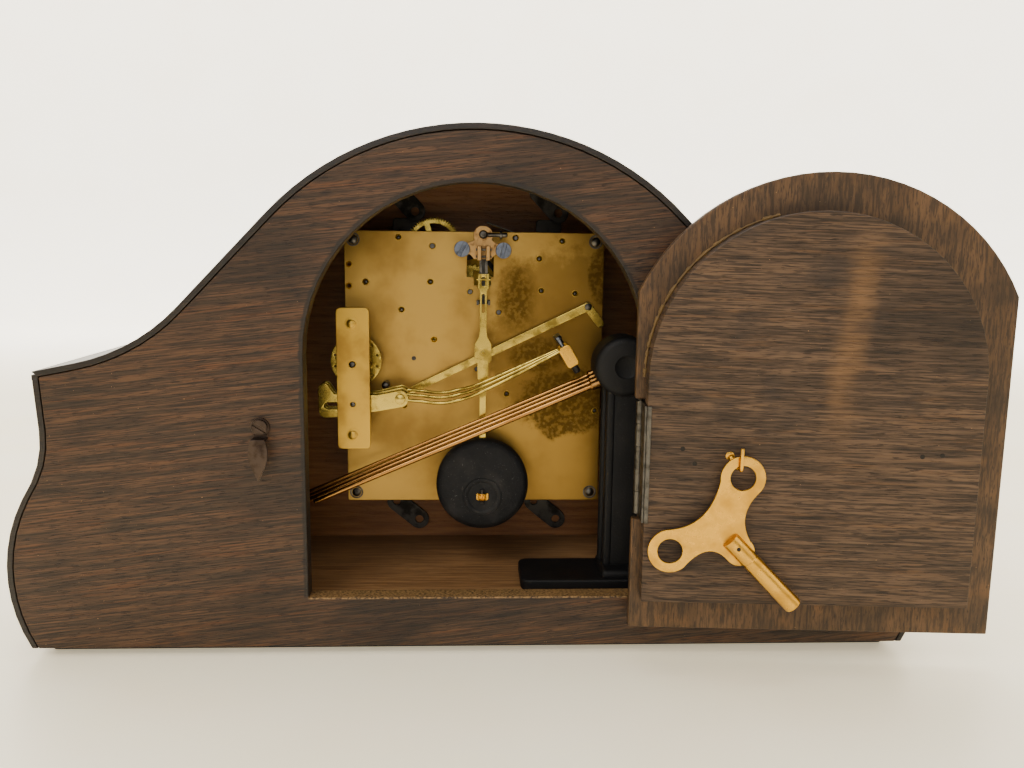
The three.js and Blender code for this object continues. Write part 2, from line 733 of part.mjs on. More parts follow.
// A toothed wheel with arms, drawn about its own centre.
function wheelShape(x, z, radius, teeth, arms) {
  const toothDepth = Math.min(1.6, radius * 0.12);
  const shape = new THREE.Shape();
  const root = radius - toothDepth;
  const flanks = [[-0.25, root], [-0.1, radius], [0.15, radius], [0.3, root]];
  for (let i = 0; i < teeth; i++) {
    const step = (2 * Math.PI) / teeth;
    for (const [turn, r] of flanks) {
      const angle = (i + turn) * step;
      const point = [x + r * Math.cos(angle), z + r * Math.sin(angle)];
      if (i === 0 && turn === -0.25) shape.moveTo(...point);
      else shape.lineTo(...point);
    }
  }
  const rim = radius - toothDepth - 1.6;
  const hub = Math.max(3.4, radius * 0.24);
  for (let i = 0; i < arms; i++) {
    const a0 = ((i + 0.12) * 2 * Math.PI) / arms;
    const a1 = ((i + 0.88) * 2 * Math.PI) / arms;
    const window = new THREE.Path();
    window.absarc(x, z, rim, a0, a1, false);
    window.absarc(x, z, hub, a1, a0, true);
    shape.holes.push(window);
  }
  return shape;
}

// A wheel, its pinion and the arbor that both are fixed to. Depths are measured from the front
// plate's inner face.
function trainWheel([x, z], wheels, pinion, from = 0.4, to = plateSpacing - 0.4) {
  const y = (depth) => frontPlateInnerY + depth;
  const pieces = [bar(arborRadius, y(from), y(to), x, z, 8)];
  for (const { radius, teeth, arms, at, thickness = 1.3 } of wheels)
    pieces.push(slab(wheelShape(x, z, radius, teeth, arms), y(at), y(at + thickness), 3));
  if (pinion) pieces.push(bar(pinion.radius, y(pinion.at), y(pinion.at + pinion.length), x, z, 8));
  return join(...pieces);
}

const pivotReach = plateSpacing + plateThickness + 0.3; // an arbor that shows in the back plate

// Each wheel reaches to the pinion it drives, less a running clearance.
const meshClearance = 0.35;
const pinionRadius = 3.2;
const span = ([ax, az], [bx, bz]) => Math.hypot(ax - bx, az - bz);
const reach = (from, to) => span(from, to) - pinionRadius - meshClearance;

function barrel(x, driven) {
  const great = reach([x, barrelZ], driven);
  const drum = Math.min(22, great - 2.4);
  const y = (depth) => frontPlateInnerY + depth;
  const body = join(
    bar(drum, y(8), y(26), x, barrelZ, 28),
    bar(6, y(4.6), y(9), x, barrelZ, 16),
    slab(wheelShape(x, barrelZ, great, 30, 0), y(3.2), y(4.8), 3),
  );
  return cut(body, bar(windingRadius + 0.3, y(0), y(30), x, barrelZ, 12));
}

// The arbor that is wound with the key: a square at the dial and a ratchet wheel at the plate.
function windingArbor(x) {
  const frontY = frontFaceY - 3.5;
  return join(
    bar(windingRadius, frontPlateY - 6, backPlateY + 0.4, x, barrelZ, 12),
    box(x - 1.6, x + 1.6, frontY, frontPlateY - 5, barrelZ - 1.6, barrelZ + 1.6),
    slab(wheelShape(x, barrelZ, 9, 16, 0), frontPlateInnerY + 0.8, frontPlateInnerY + 2.2, 3),
  );
}

function addTrains() {
  addPart("time_barrel", barrel(timeBarrelX, arbor.timeSecond), plateBrass);
  addPart("strike_barrel", barrel(strikeBarrelX, arbor.strikeSecond), plateBrass);
  addPart("time_winding_arbor", windingArbor(timeBarrelX), steel);
  addPart("strike_winding_arbor", windingArbor(strikeBarrelX), steel);

  const timeSecond = trainWheel(
    arbor.timeSecond,
    [{ radius: reach(arbor.timeSecond, arbor.centre), teeth: 22, arms: 0, at: 5.6 }],
    { radius: pinionRadius, at: 2.6, length: 3.2 },
    0.4,
    10,
  );
  addPart("time_second_wheel", timeSecond, plateBrass);

  const centreReach = frontPlateInnerY - (frontFaceY - 1.2);
  const centre = trainWheel(
    arbor.centre,
    [{ radius: reach(arbor.centre, arbor.third), teeth: 32, arms: 5, at: 30.8 }],
    { radius: pinionRadius, at: 5.2, length: 2.2 },
    -centreReach,
    pivotReach,
  );
  addPart("centre_wheel", centre, plateBrass);
  const third = trainWheel(
    arbor.third,
    [{ radius: reach(arbor.third, arbor.escape), teeth: 24, arms: 4, at: 18 }],
    { radius: pinionRadius, at: 30, length: 3 },
    0.4,
    pivotReach,
  );
  addPart("third_wheel", third, plateBrass);
  const escapeRadius = span(arbor.escape, arbor.anchor) * 0.7;
  const escape = trainWheel(
    arbor.escape,
    [{ radius: escapeRadius, teeth: 24, arms: 4, at: 10 }],
    { radius: pinionRadius, at: 17, length: 3.4 },
    0.4,
    pivotReach,
  );
  addPart("escape_wheel", escape, plateBrass);
  addAnchor(escapeRadius);

  const strikeSecond = trainWheel(
    arbor.strikeSecond,
    [{ radius: reach(arbor.strikeSecond, arbor.star), teeth: 22, arms: 0, at: 5.6 }],
    { radius: pinionRadius, at: 2.6, length: 3.2 },
    0.4,
    10,
  );
  addPart("strike_second_wheel", strikeSecond, plateBrass);
  addStarWheel();
  const strikeThird = trainWheel(
    arbor.strikeThird,
    [{ radius: 20.6, teeth: 28, arms: 5, at: 28.2 }],
    { radius: pinionRadius, at: 5.2, length: 2.2 },
    0.4,
    pivotReach,
  );
  addPart("strike_third_wheel", strikeThird, plateBrass);
  const warning = trainWheel(
    arbor.warning,
    [{ radius: 14.2, teeth: 26, arms: 5, at: 17.5 }],
    { radius: pinionRadius, at: 22.4, length: 3 },
    0.4,
    pivotReach,
  );
  addPart("warning_wheel", warning, plateBrass);
}

// The star wheel lifts the hammers outside the back plate; its pinion is between the plates.
function addStarWheel() {
  const [x, z] = arbor.star;
  const y = (depth) => frontPlateInnerY + depth;
  const discY = backPlateY + 7;
  const discRadius = 12;
  const outerY = hammerPlaneY(hammerCount - 1) + 3.4;
  const pieces = [
    bar(arborRadius, y(0.4), outerY, x, z, 8),
    bar(pinionRadius, y(5.2), y(7.4), x, z, 8),
    bar(discRadius, discY, discY + 1, x, z, 28),
  ];
  const pinCount = 8;
  for (let i = 0; i < pinCount; i++) {
    const angle = ((i + 0.5) * 2 * Math.PI) / pinCount;
    const pinX = x + 9.6 * Math.cos(angle);
    const pinZ = z + 9.6 * Math.sin(angle);
    pieces.push(bar(0.7, discY, outerY - 5.4, pinX, pinZ, 6));
  }
  addPart("star_wheel", join(...pieces), plateBrass);
}

// Anchor, its arbor and the crutch whose fork pushes the pendulum.
function addAnchor(escapeRadius) {
  const [x, z] = arbor.anchor;
  const [ex, ez] = arbor.escape;
  const y = (depth) => frontPlateInnerY + depth;
  const bearing = Math.atan2(ez - z, ex - x);
  const palletReach = escapeRadius + 0.8;
  const pieces = [bar(1, y(0.4), backPlateY + 5.6, x, z, 8)];
  for (const side of [-1, 1]) {
    const angle = bearing + Math.PI + side * 48 * degree;
    const tipX = ex + palletReach * Math.cos(angle);
    const tipZ = ez + palletReach * Math.sin(angle);
    const armX = ex + (palletReach + 2.4) * Math.cos(angle);
    const armZ = ez + (palletReach + 2.4) * Math.sin(angle);
    pieces.push(capsule(x, z, armX, armZ, 1.1, y(9.6), y(11.8), 3));
    pieces.push(capsule(armX, armZ, (tipX + armX) / 2, (tipZ + armZ) / 2, 0.8, y(9.6), y(11.8), 3));
  }
  const forkZ = z - 22;
  const armY = backPlateY + 4;
  pieces.push(box(x - 0.9, x + 0.9, armY, armY + 1.2, forkZ - 1, z));
  pieces.push(box(x - 3.2, x + 3.2, armY, armY + 1.2, forkZ - 1, forkZ + 1));
  for (const side of [-1, 1])
    pieces.push(box(x + side * 2.2, x + side * 3.2, armY, pendulumY + 1.5, forkZ - 1, forkZ + 1));
  addPart("anchor", join(...pieces), polishedBrass);
}

function addFly() {
  const [x, z] = arbor.fly;
  const y = (depth) => frontPlateInnerY + depth;
  const reach = 15.2; // half the blade's length, clear of the anchor's arbor
  const blade = box(-reach, reach, y(5), y(27), 2.2, 2.7).rotateY(-20 * degree).translate(x, 0, z);
  const hub = box(-2.4, 2.4, y(14), y(18), -2, 2.5).rotateY(-20 * degree).translate(x, 0, z);
  const shaft = bar(1, y(0.4), frontPlateInnerY + pivotReach, x, z, 8);
  addPart("fly", join(shaft, hub, blade), steel);
}

// ---- Pendulum ----

function addPendulum() {
  const x = pendulumX;
  const thin = 0.5;
  const springTopZ = pendulumPivotZ - 0.1;
  const rodTopZ = springTopZ - 6.5;
  addPart(
    "suspension_spring",
    box(x - 1.8, x + 1.8, pendulumY - 0.15, pendulumY + 0.15, rodTopZ + gap, springTopZ),
    steel,
  );

  const bobTopZ = bobCentreZ + bobRadius;
  const stem = new THREE.Shape();
  const halves = [
    [2.6, rodTopZ],
    [2.6, rodTopZ - 5.2],
    [1.5, rodTopZ - 6.4],
    [1.5, rodTopZ - 27],
    [4.1, rodTopZ - 32],
    [4.1, rodTopZ - 39],
    [2.5, rodTopZ - 41],
    [2.5, bobTopZ + gap],
  ];
  const right = halves.map(([half, z]) => [x + half, z]);
  const left = halves.map(([half, z]) => [x - half, z]).reverse();
  [...right, ...left].forEach(([px, pz], i) => (i ? stem.lineTo(px, pz) : stem.moveTo(px, pz)));
  addPart("pendulum_rod", slab(stem, pendulumY - thin, pendulumY + thin), plateBrass);

  const half = bobThickness / 2;
  const bob = turned(
    [
      [0, pendulumY - half],
      [bobRadius - 4, pendulumY - half],
      [bobRadius, pendulumY - half + 3],
      [bobRadius, pendulumY + half - 3],
      [bobRadius - 3.4, pendulumY + half],
      [0, pendulumY + half],
    ],
    x,
    bobCentreZ,
    36,
  );
  const nutZ = bobCentreZ - 5.2;
  const nutRadius = 2.9;
  const nutY = pendulumY + half - 0.6;
  const recess = bar(7, nutY - nutRadius - gap, pendulumY + half + 1, x, nutZ, 20);
  addPart("pendulum_bob", cut(bob, recess), castIron);
  addPart("rating_nut", post(nutRadius, nutZ - 1.5, nutZ + 1.5, x, nutY, 16), polishedBrass);
}

// ---- Hammers and the silencing lever ----

function addHammers() {
  const bossX = 35.7;
  const bossZ = 108.1;
  const tail = [67.6, 103.4];
  const nose = [70.2, 113.2];
  for (let index = 0; index < hammerCount; index++) {
    const name = hammerCount - index;
    const y0 = hammerPlaneY(index) - hammerThickness / 2;
    const y1 = hammerPlaneY(index) + hammerThickness / 2;
    const headY = rodPlaneY(index);
    const lever = join(
      capsule(hammerPivot.x, hammerPivot.y, bossX, bossZ, 3.9, y0, y1, 5),
      capsule(hammerPivot.x, hammerPivot.y, ...tail, 4.6, y0, y1, 5),
      capsule(...tail, ...nose, 2.4, y0, y1, 4),
      wire(
        [
          [bossX + 1, hammerPlaneY(index), bossZ + 0.3],
          [29.5, hammerPlaneY(index), 108.9],
          [17, (hammerPlaneY(index) + headY) / 2, 107.3],
          [-1.3, headY, 111.6],
          [-19.6, headY, 121.4],
          [-36.1, headY, 130.2],
        ],
        0.75,
        16,
        6,
      ),
    );
    const pivotHole = bar(1.3, y0 - 1, y1 + 1, hammerPivot.x, hammerPivot.y, 8);
    addPart("hammer_lever_" + name, cut(lever, pivotHole), polishedBrass);

    // The head hangs square to the wire and ends in a leather-faced tip above its rod.
    const head = new THREE.Shape();
    head.moveTo(-2.9, 5.4);
    head.lineTo(2.9, 5.4);
    head.lineTo(2.9, -4.6);
    head.lineTo(1.8, -5.4);
    head.lineTo(1.8, -8.4);
    head.lineTo(-1.8, -8.4);
    head.lineTo(-1.8, -5.4);
    head.lineTo(-2.9, -4.6);
    const headSlab = slab(head, -1.6, 1.6, 4).rotateY(31 * degree).translate(-42.2, headY, 128.4);
    addPart("hammer_head_" + name, headSlab, polishedBrass);
  }
}

// A rocker on the plate and the long lever pinned to it, which holds the hammers off when pushed.
function addSilencer() {
  const plateGapY = backPlateY + 0.6;
  const rockerPivot = [-59.5, 141.8];
  const joint = [-53.2, 150];
  const rocker = join(
    capsule(...rockerPivot, ...joint, 2, plateGapY, plateGapY + 1, 4),
    bar(1.1, plateGapY, plateGapY + 3.2, ...joint, 8),
  );
  addPart("silence_rocker", rocker, plateBrass);
  const leverY = plateGapY + 1.4;
  const lever = join(
    capsule(...joint, 31.5, 108.9, 1.6, leverY, leverY + 1, 4),
    bar(2.4, leverY, leverY + 1, ...joint, 12),
  );
  addPart("silence_lever", cut(lever, bar(1.3, leverY - 1, leverY + 2, ...joint, 8)), plateBrass);
}

// ---- Dial side ----

function addDial() {
  const plateY0 = frontFaceY - gap - 1;
  const dial = new THREE.Shape();
  dial.absarc(0, dialCentreZ, dialRadius, 0, 2 * Math.PI, false);
  dial.holes.push(circleHole(0, dialCentreZ, 4));
  for (const x of [timeBarrelX, strikeBarrelX]) dial.holes.push(circleHole(x, barrelZ, 3.4));
  addPart("dial_plate", slab(dial, plateY0, frontFaceY - gap, 22), silvered);

  const hand = (points, y0, y1, hubRadius, extra = []) => {
    const blade = closedShape(points.map(([x, z]) => [x, dialCentreZ + z]));
    return join(slab(blade, y0, y1), bar(hubRadius, y0, y1, 0, dialCentreZ, 14), ...extra);
  };
  const mirrorPoints = (points) => [...points, ...mirrored(points)];
  const hourY = plateY0 - 2;
  const turnedTo = (geometry, angle) =>
    geometry.translate(0, 0, -dialCentreZ).rotateY(angle).translate(0, 0, dialCentreZ);
  const hour = hand(mirrorPoints([[1.2, 2], [3.4, 26], [0.3, 38]]), hourY - 0.7, hourY, 4);
  const hourBore = bar(1.5, hourY - 3, hourY + 3, 0, dialCentreZ, 8);
  addPart("hour_hand", turnedTo(cut(hour, hourBore), 305 * degree), darkSteel);
  const minuteY = hourY - 1.4;
  const stub = bar(1.2, minuteY - 1.6, hourY + 0.5, 0, dialCentreZ, 8);
  const minute = hand(mirrorPoints([[1, 2], [2.4, 40], [0.3, 56]]), minuteY - 0.7, minuteY, 3, [stub]);
  addPart("minute_hand", turnedTo(minute, 60 * degree), darkSteel);
}

const bezelInner = dialRadius + 3.2;
const bezelHingeX = bezelRadius + 1.8;
const bezelHingeY = frontFaceY - 2.1;

function addBezel() {
  const base = frontFaceY - gap;
  const lip = base - 8.8;
  const front = base - 10.7;
  const ring = turned(
    [
      [bezelInner, base],
      [bezelInner, lip],
      [bezelInner - 2.2, lip],
      [bezelInner - 2.9, lip - 0.9],
      [bezelInner - 2.2, front],
      [bezelRadius - 4.5, front],
      [bezelRadius - 1.5, base - 8.2],
      [bezelRadius, base - 4.2],
      [bezelRadius, base],
      [bezelInner, base],
    ],
    0,
    dialCentreZ,
    56,
  );
  const knuckle = post(1.6, dialCentreZ - 6, dialCentreZ + 6, bezelHingeX, bezelHingeY, 10);
  const lugY = bezelHingeY - 1.2;
  const lug = box(bezelRadius - 2, bezelHingeX, lugY, bezelHingeY, dialCentreZ - 6, dialCentreZ + 6);
  addPart("bezel_ring", join(ring, knuckle, lug), polishedBrass);

  const knuckles = [];
  const bridge = [];
  for (const side of [-1, 1]) {
    const z0 = dialCentreZ + side * 6.3;
    const z1 = dialCentreZ + side * 12;
    knuckles.push(post(1.6, z0, z1, bezelHingeX, bezelHingeY, 10));
    bridge.push(box(bezelHingeX - 0.6, bezelHingeX + 1.6, bezelHingeY, base, z0, z1));
  }
  const leaf = box(bezelHingeX, bezelHingeX + 5, base - 0.8, base, dialCentreZ - 12, dialCentreZ + 12);
  const clearance = box(
    bezelHingeX - 3,
    bezelHingeX + 2,
    bezelHingeY - 3,
    base + 1,
    dialCentreZ - 6.3,
    dialCentreZ + 6.3,
  );
  addPart("bezel_hinge", cut(join(leaf, ...knuckles, ...bridge), clearance), polishedBrass);

  const edge = bezelInner - 0.4;
  const dome = 6; // rise of the convex glass
  const radius = (edge ** 2 + dome ** 2) / (2 * dome);
  const thickness = 1.6;
  const steps = 5;
  const outer = [];
  const inner = [];
  for (let i = 0; i <= steps; i++) {
    const r = (edge * i) / steps;
    const rise = Math.sqrt(radius ** 2 - r ** 2) - (radius - dome);
    outer.push([r, lip + gap - rise]);
    inner.push([r, lip + gap + thickness - rise]);
  }
  addPart("bezel_glass", turned([...outer, ...inner.reverse()], 0, dialCentreZ, 44), glass);
}

addCase();
addDoor();
addTurnButton();
addKey();
addGong();
addPlates();
addCock();
addHammerBridge();
addTrains();
addFly();
addPendulum();
addHammers();
addSilencer();
addDial();
addBezel();

export default clock;
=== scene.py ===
"""Looks of a striking mantel clock in a hump-shaped oak case, its arched back door standing open."""

import logging
import math
from dataclasses import dataclass, field
from enum import Enum

import bmesh
import bpy
import numpy as np
from mathutils import Matrix, Vector


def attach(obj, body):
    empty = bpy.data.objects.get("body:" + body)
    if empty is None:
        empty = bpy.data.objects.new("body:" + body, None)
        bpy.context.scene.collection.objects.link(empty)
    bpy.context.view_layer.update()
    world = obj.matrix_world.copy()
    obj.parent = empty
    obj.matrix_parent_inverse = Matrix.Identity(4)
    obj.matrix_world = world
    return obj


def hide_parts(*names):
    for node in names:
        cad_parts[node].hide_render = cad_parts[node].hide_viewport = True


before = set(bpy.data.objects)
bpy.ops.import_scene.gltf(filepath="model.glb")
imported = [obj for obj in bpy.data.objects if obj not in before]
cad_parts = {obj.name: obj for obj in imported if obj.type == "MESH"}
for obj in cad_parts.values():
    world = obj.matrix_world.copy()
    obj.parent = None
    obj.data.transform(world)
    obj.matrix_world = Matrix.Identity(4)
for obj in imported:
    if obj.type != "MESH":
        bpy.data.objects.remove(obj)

LOG = logging.getLogger("mantel_clock")
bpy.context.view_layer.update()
MM = 0.001
TAU = 2 * math.pi
Array = np.ndarray
Socket = bpy.types.NodeSocket
Material = bpy.types.Material

HINGE = (-68.5, 61.2)  # the back door's axis, X and Y
DOOR_ANGLE = math.radians(176)  # how far the door stands open
DIAL_Z = 119.0  # centre of the dial and of the hands' arbor
BACK_PLATE_Y = -2.5  # outer face of the movement's back plate
FRONT_PLATE_Y = -38.3  # inner face of its front plate
PENDULUM_Y = 9.0
DIAL_Y = -56.8  # front face of the dial


class Body(Enum):
    """The bodies that pieces ride on."""

    CASE = "case"
    DOOR = "door"
    KEY = "key"
    CATCH = "catch"
    BEZEL = "bezel"
    PENDULUM = "pendulum"
    REGULATOR = "regulator"
    ESCAPEMENT = "escapement"
    HOUR = "hour"
    CENTRE = "centre"
    STAR = "star"
    SILENCE_ROCKER = "silence_rocker"
    SILENCE_LEVER = "silence_lever"


# ---- Surfaces, in millimetres ----


@dataclass
class Shell:
    """A surface: its vertices, the corners of its faces in a row, and each face's corner count."""

    points: Array
    corners: Array
    counts: Array

    def moved(self, move: Array) -> "Shell":
        """Returns the surface carried by a 4 by 4 matrix."""
        carried = self.points @ move[:3, :3].T + move[:3, 3]
        return Shell(carried, self.corners, self.counts)


def joined(*shells: Shell) -> Shell:
    """Returns one surface that holds all the given ones."""
    starts = np.cumsum([0] + [len(s.points) for s in shells[:-1]])
    return Shell(
        np.vstack([s.points for s in shells]),
        np.concatenate([s.corners + start for s, start in zip(shells, starts)]),
        np.concatenate([s.counts for s in shells]),
    )


def net(points: Array, around: bool = True) -> Shell:
    """Makes a surface from a grid of points.

    Args:
        points: array of rows by columns by 3.
        around: whether the last column joins the first.

    Returns:
        The four-sided faces between neighbouring rows and columns.
    """
    rows, columns = points.shape[:2]
    index = np.arange(rows * columns).reshape(rows, columns)
    beside = np.roll(index, -1, axis=1)
    last = columns if around else columns - 1
    quads = np.stack([index[:-1], index[1:], beside[1:], beside[:-1]], axis=-1)[:, :last]
    quads = quads.reshape(-1, 4)
    return Shell(points.reshape(-1, 3), quads.ravel(), np.full(len(quads), 4))


def turned(profile: list[tuple[float, float]], centre: tuple, axis: str = "Y", sides: int = 40) -> Shell:
    """Makes a solid of revolution: (radius, height) pairs swept round an axis through the centre.

    Args:
        profile: radii and heights, with the first and last radius zero on a closed solid.
        centre: the point from which heights are measured.
        axis: X, Y or Z.
        sides: how many columns go round.

    Returns:
        The surface.
    """
    radius, height = np.array(profile, float).T
    angle = np.arange(sides) * TAU / sides
    across = radius[:, None] * np.cos(angle)
    upward = radius[:, None] * np.sin(angle)
    along = np.repeat(height[:, None], sides, axis=1)
    order = {"X": (along, across, upward), "Y": (across, along, upward), "Z": (across, upward, along)}
    return net(np.stack(order[axis], axis=-1) + np.array(centre, float))


def tube(path: Array, radius: float, sides: int = 14, side: tuple = (0, 1, 0)) -> Shell:
    """Makes a round wire: a circle carried square to a path, its ends rounded over.

    Args:
        path: points along the middle.
        radius: half the wire's thickness.
        sides: columns round the wire.
        side: a direction that the path never runs along.

    Returns:
        The closed surface.
    """
    path = np.asarray(path, float)
    along = np.gradient(path, axis=0)
    along /= np.linalg.norm(along, axis=1, keepdims=True)
    first = np.cross(along, np.array(side, float))
    first /= np.linalg.norm(first, axis=1, keepdims=True)
    second = np.cross(along, first)
    bulge = np.array([0.0, 0.5, 0.87])
    setback = np.array([1.0, 0.87, 0.5]) * radius * 0.5
    size = np.concatenate([bulge, np.ones(len(path)), bulge[::-1]]) * radius
    start = path[0] - along[0] * setback[:, None]
    end = path[-1] + along[-1] * setback[::-1, None]
    middle = np.vstack([start, path, end])
    pad = [(3, 3), (0, 0)]
    first, second = np.pad(first, pad, "edge"), np.pad(second, pad, "edge")
    angle = np.arange(sides) * TAU / sides
    ring = first[:, None] * np.cos(angle)[:, None] + second[:, None] * np.sin(angle)[:, None]
    return net(middle[:, None] + ring * size[:, None, None])


def smooth_path(points: list[tuple], count: int = 40) -> Array:
    """Returns a curve through the points: a Catmull-Rom spline sampled evenly in its parameter."""
    knots = np.array(points, float)
    padded = np.vstack([2 * knots[0] - knots[1], knots, 2 * knots[-1] - knots[-2]])
    place = np.linspace(0, len(knots) - 1 - 1e-9, count)
    step = place.astype(int)
    t = (place - step)[:, None]
    a, b, c, d = padded[step], padded[step + 1], padded[step + 2], padded[step + 3]
    return 0.5 * (2 * b + (c - a) * t + (2 * a - 5 * b + 4 * c - d) * t**2 + (3 * b - a - 3 * c + d) * t**3)


def block(low: tuple, high: tuple, soft: float = 0.3) -> Shell:
    """Makes a box with rounded edges: a grid on a sphere pushed out to the box's corners.

    Args:
        low: lowest corner.
        high: highest corner.
        soft: radius of the edges.

    Returns:
        The closed surface.
    """
    column = np.arange(16)
    around = (column // 4 + (column % 4) / 3) * TAU / 4
    tilt = np.concatenate([np.linspace(-1, 0, 4), np.linspace(0, 1, 4)]) * TAU / 4
    step_x = np.array([1, -1, -1, 1])[column // 4]
    step_y = np.array([1, 1, -1, -1])[column // 4]
    step_z = np.repeat([-1, 1], 4)
    half = (np.array(high, float) - np.array(low, float)) / 2
    soft = min(soft, *(0.95 * half))
    core = half - soft
    x = step_x * core[0] + soft * np.cos(tilt)[:, None] * np.cos(around)
    y = step_y * core[1] + soft * np.cos(tilt)[:, None] * np.sin(around)
    z = np.repeat((step_z * core[2] + soft * np.sin(tilt))[:, None], 16, axis=1)
    points = np.stack([x, y, z], axis=-1)
    poles = np.zeros((2, 16, 3))
    poles[:, :, 2] = np.array([-half[2], half[2]])[:, None]
    points = np.concatenate([poles[:1], points, poles[1:]])
    return net(points + (np.array(high, float) + np.array(low, float)) / 2)


def circle(x: float, z: float, radius: float, sides: int = 32) -> Array:
    """Returns points round a circle, anticlockwise."""
    angle = np.arange(sides) * TAU / sides
    return np.stack([x + radius * np.cos(angle), z + radius * np.sin(angle)], axis=-1)


def arc(x: float, z: float, radius: float, start: float, end: float, count: int = 16) -> Array:
    """Returns points along an arc between two angles in degrees."""
    angle = np.radians(np.linspace(start, end, count))
    return np.stack([x + radius * np.cos(angle), z + radius * np.sin(angle)], axis=-1)


def capsule(ax: float, az: float, bx: float, bz: float, near: float, far: float | None = None) -> Array:
    """Returns the outline of a flat bar with round ends, whose radius may change along it."""
    angle = math.degrees(math.atan2(bz - az, bx - ax))
    far = near if far is None else far
    head = arc(bx, bz, far, angle - 90, angle + 90, 12)
    return np.vstack([head, arc(ax, az, near, angle + 90, angle + 270, 12)])


def rounded(x0: float, x1: float, z0: float, z1: float, radius: float) -> Array:
    """Returns a rectangle with round corners."""
    corners = ((x1 - radius, z0 + radius, -90), (x1 - radius, z1 - radius, 0),
               (x0 + radius, z1 - radius, 90), (x0 + radius, z0 + radius, 180))
    return np.vstack([arc(x, z, radius, start, start + 90, 6) for x, z, start in corners])


def signed_area(ring: Array) -> float:
    """Returns a ring's area, negative when it runs clockwise."""
    after = np.roll(ring, -1, axis=0)
    return float(np.sum(ring[:, 0] * after[:, 1] - after[:, 0] * ring[:, 1]) / 2)


def shell_of(source: bpy.types.ID) -> Shell:
    """Returns the surface of a curve or text, which is removed."""
    thing = bpy.data.objects.new("shape", source)
    bpy.context.scene.collection.objects.link(thing)
    mesh = thing.evaluated_get(bpy.context.evaluated_depsgraph_get()).to_mesh()
    points = np.empty(len(mesh.vertices) * 3)
    corners = np.empty(len(mesh.loops), int)
    counts = np.empty(len(mesh.polygons), int)
    mesh.vertices.foreach_get("co", points)
    mesh.loops.foreach_get("vertex_index", corners)
    mesh.polygons.foreach_get("loop_total", counts)
    bpy.data.objects.remove(thing)
    bpy.data.curves.remove(source)
    return Shell(points.reshape(-1, 3), corners, counts)


def plate(outline: Array, holes: list[Array], y0: float, y1: float, edge: float = 0.2) -> Shell:
    """Makes a flat plate with rounded edges from rings drawn in X and Z.

    Args:
        outline: the outer ring.
        holes: rings cut through it.
        y0: depth of one face.
        y1: depth of the other.
        edge: radius of the edges.

    Returns:
        The closed surface.
    """
    flat = bpy.data.curves.new("shape", "CURVE")
    flat.dimensions = "2D"
    flat.fill_mode = "BOTH"
    flat.extrude = abs(y1 - y0) / 2 - edge
    flat.bevel_depth = edge
    flat.bevel_resolution = 1
    flat.offset = -edge
    for ring, way in [(outline, 1), *((hole, -1) for hole in holes)]:
        ring = ring[::-1] if signed_area(ring) * way < 0 else ring
        spline = flat.splines.new("POLY")
        spline.points.add(len(ring) - 1)
        rows = np.column_stack([ring, np.zeros(len(ring)), np.ones(len(ring))])
        spline.points.foreach_set("co", rows.ravel())
        spline.use_cyclic_u = True
    shell = shell_of(flat)
    shell.points = shell.points[:, [0, 2, 1]] + np.array([0, (y0 + y1) / 2, 0])
    return shell


def turn_about(point: tuple, angle: float, axis: str = "Y") -> Array:
    """Returns the matrix of a turn about an axis through a point."""
    there = Matrix.Translation(Vector(point))
    return np.array(there @ Matrix.Rotation(angle, 4, axis) @ there.inverted())


OPENED = turn_about((HINGE[0], HINGE[1], 0), DOOR_ANGLE, "Z")


# ---- Pieces ----


def dress(thing: bpy.types.Object, finish: Material, body: str, stands_for: tuple) -> None:
    """Gives an object its finish and says what it rides on and stands for."""
    thing.data.materials.clear()
    thing.data.materials.append(finish)
    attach(thing, body)
    if stands_for:
        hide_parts(*stands_for)
    LOG.info("%s: %d faces", thing.name, len(thing.data.polygons))


def settle(mesh: bpy.types.Mesh, sharp: float, flatten: bool) -> None:
    """Merges a mesh's doubles, turns its faces outwards and marks its sharp edges."""
    work = bmesh.new()
    work.from_mesh(mesh)
    bmesh.ops.remove_doubles(work, verts=work.verts, dist=2e-6)
    bmesh.ops.dissolve_degenerate(work, dist=1e-7, edges=work.edges)
    if flatten:
        bmesh.ops.dissolve_limit(work, angle_limit=math.radians(0.4), verts=work.verts, edges=work.edges)
    bmesh.ops.recalc_face_normals(work, faces=work.faces)
    work.to_mesh(mesh)
    work.free()
    mesh.shade_smooth()
    mesh.set_sharp_from_angle(angle=math.radians(sharp))


def piece(name: str, shell: Shell, finish: Material, body: Body | str, slot: str, *stands_for: str,
          sharp: float = 38.0) -> bpy.types.Object:
    """Makes an object from a surface in millimetres.

    Args:
        name: the piece's name.
        shell: its surface.
        finish: its material.
        body: what it rides on.
        slot: a material slot's name; not used.
        stands_for: the frame's nodes that it replaces.
        sharp: the angle in degrees from which an edge is sharp.

    Returns:
        The object.
    """
    mesh = bpy.data.meshes.new(name)
    mesh.vertices.add(len(shell.points))
    mesh.vertices.foreach_set("co", (shell.points * MM).ravel())
    mesh.loops.add(len(shell.corners))
    mesh.loops.foreach_set("vertex_index", shell.corners)
    mesh.polygons.add(len(shell.counts))
    mesh.polygons.foreach_set("loop_start", np.cumsum(shell.counts) - shell.counts)
    mesh.update(calc_edges=True)
    settle(mesh, sharp, False)
    thing = bpy.data.objects.new(name, mesh)
    bpy.context.scene.collection.objects.link(thing)
    flatten = thing.modifiers.new("flat_faces", "WEIGHTED_NORMAL")
    flatten.keep_sharp = True
    flatten.weight = 100
    dress(thing, finish, body.value if isinstance(body, Body) else body, stands_for)
    return thing


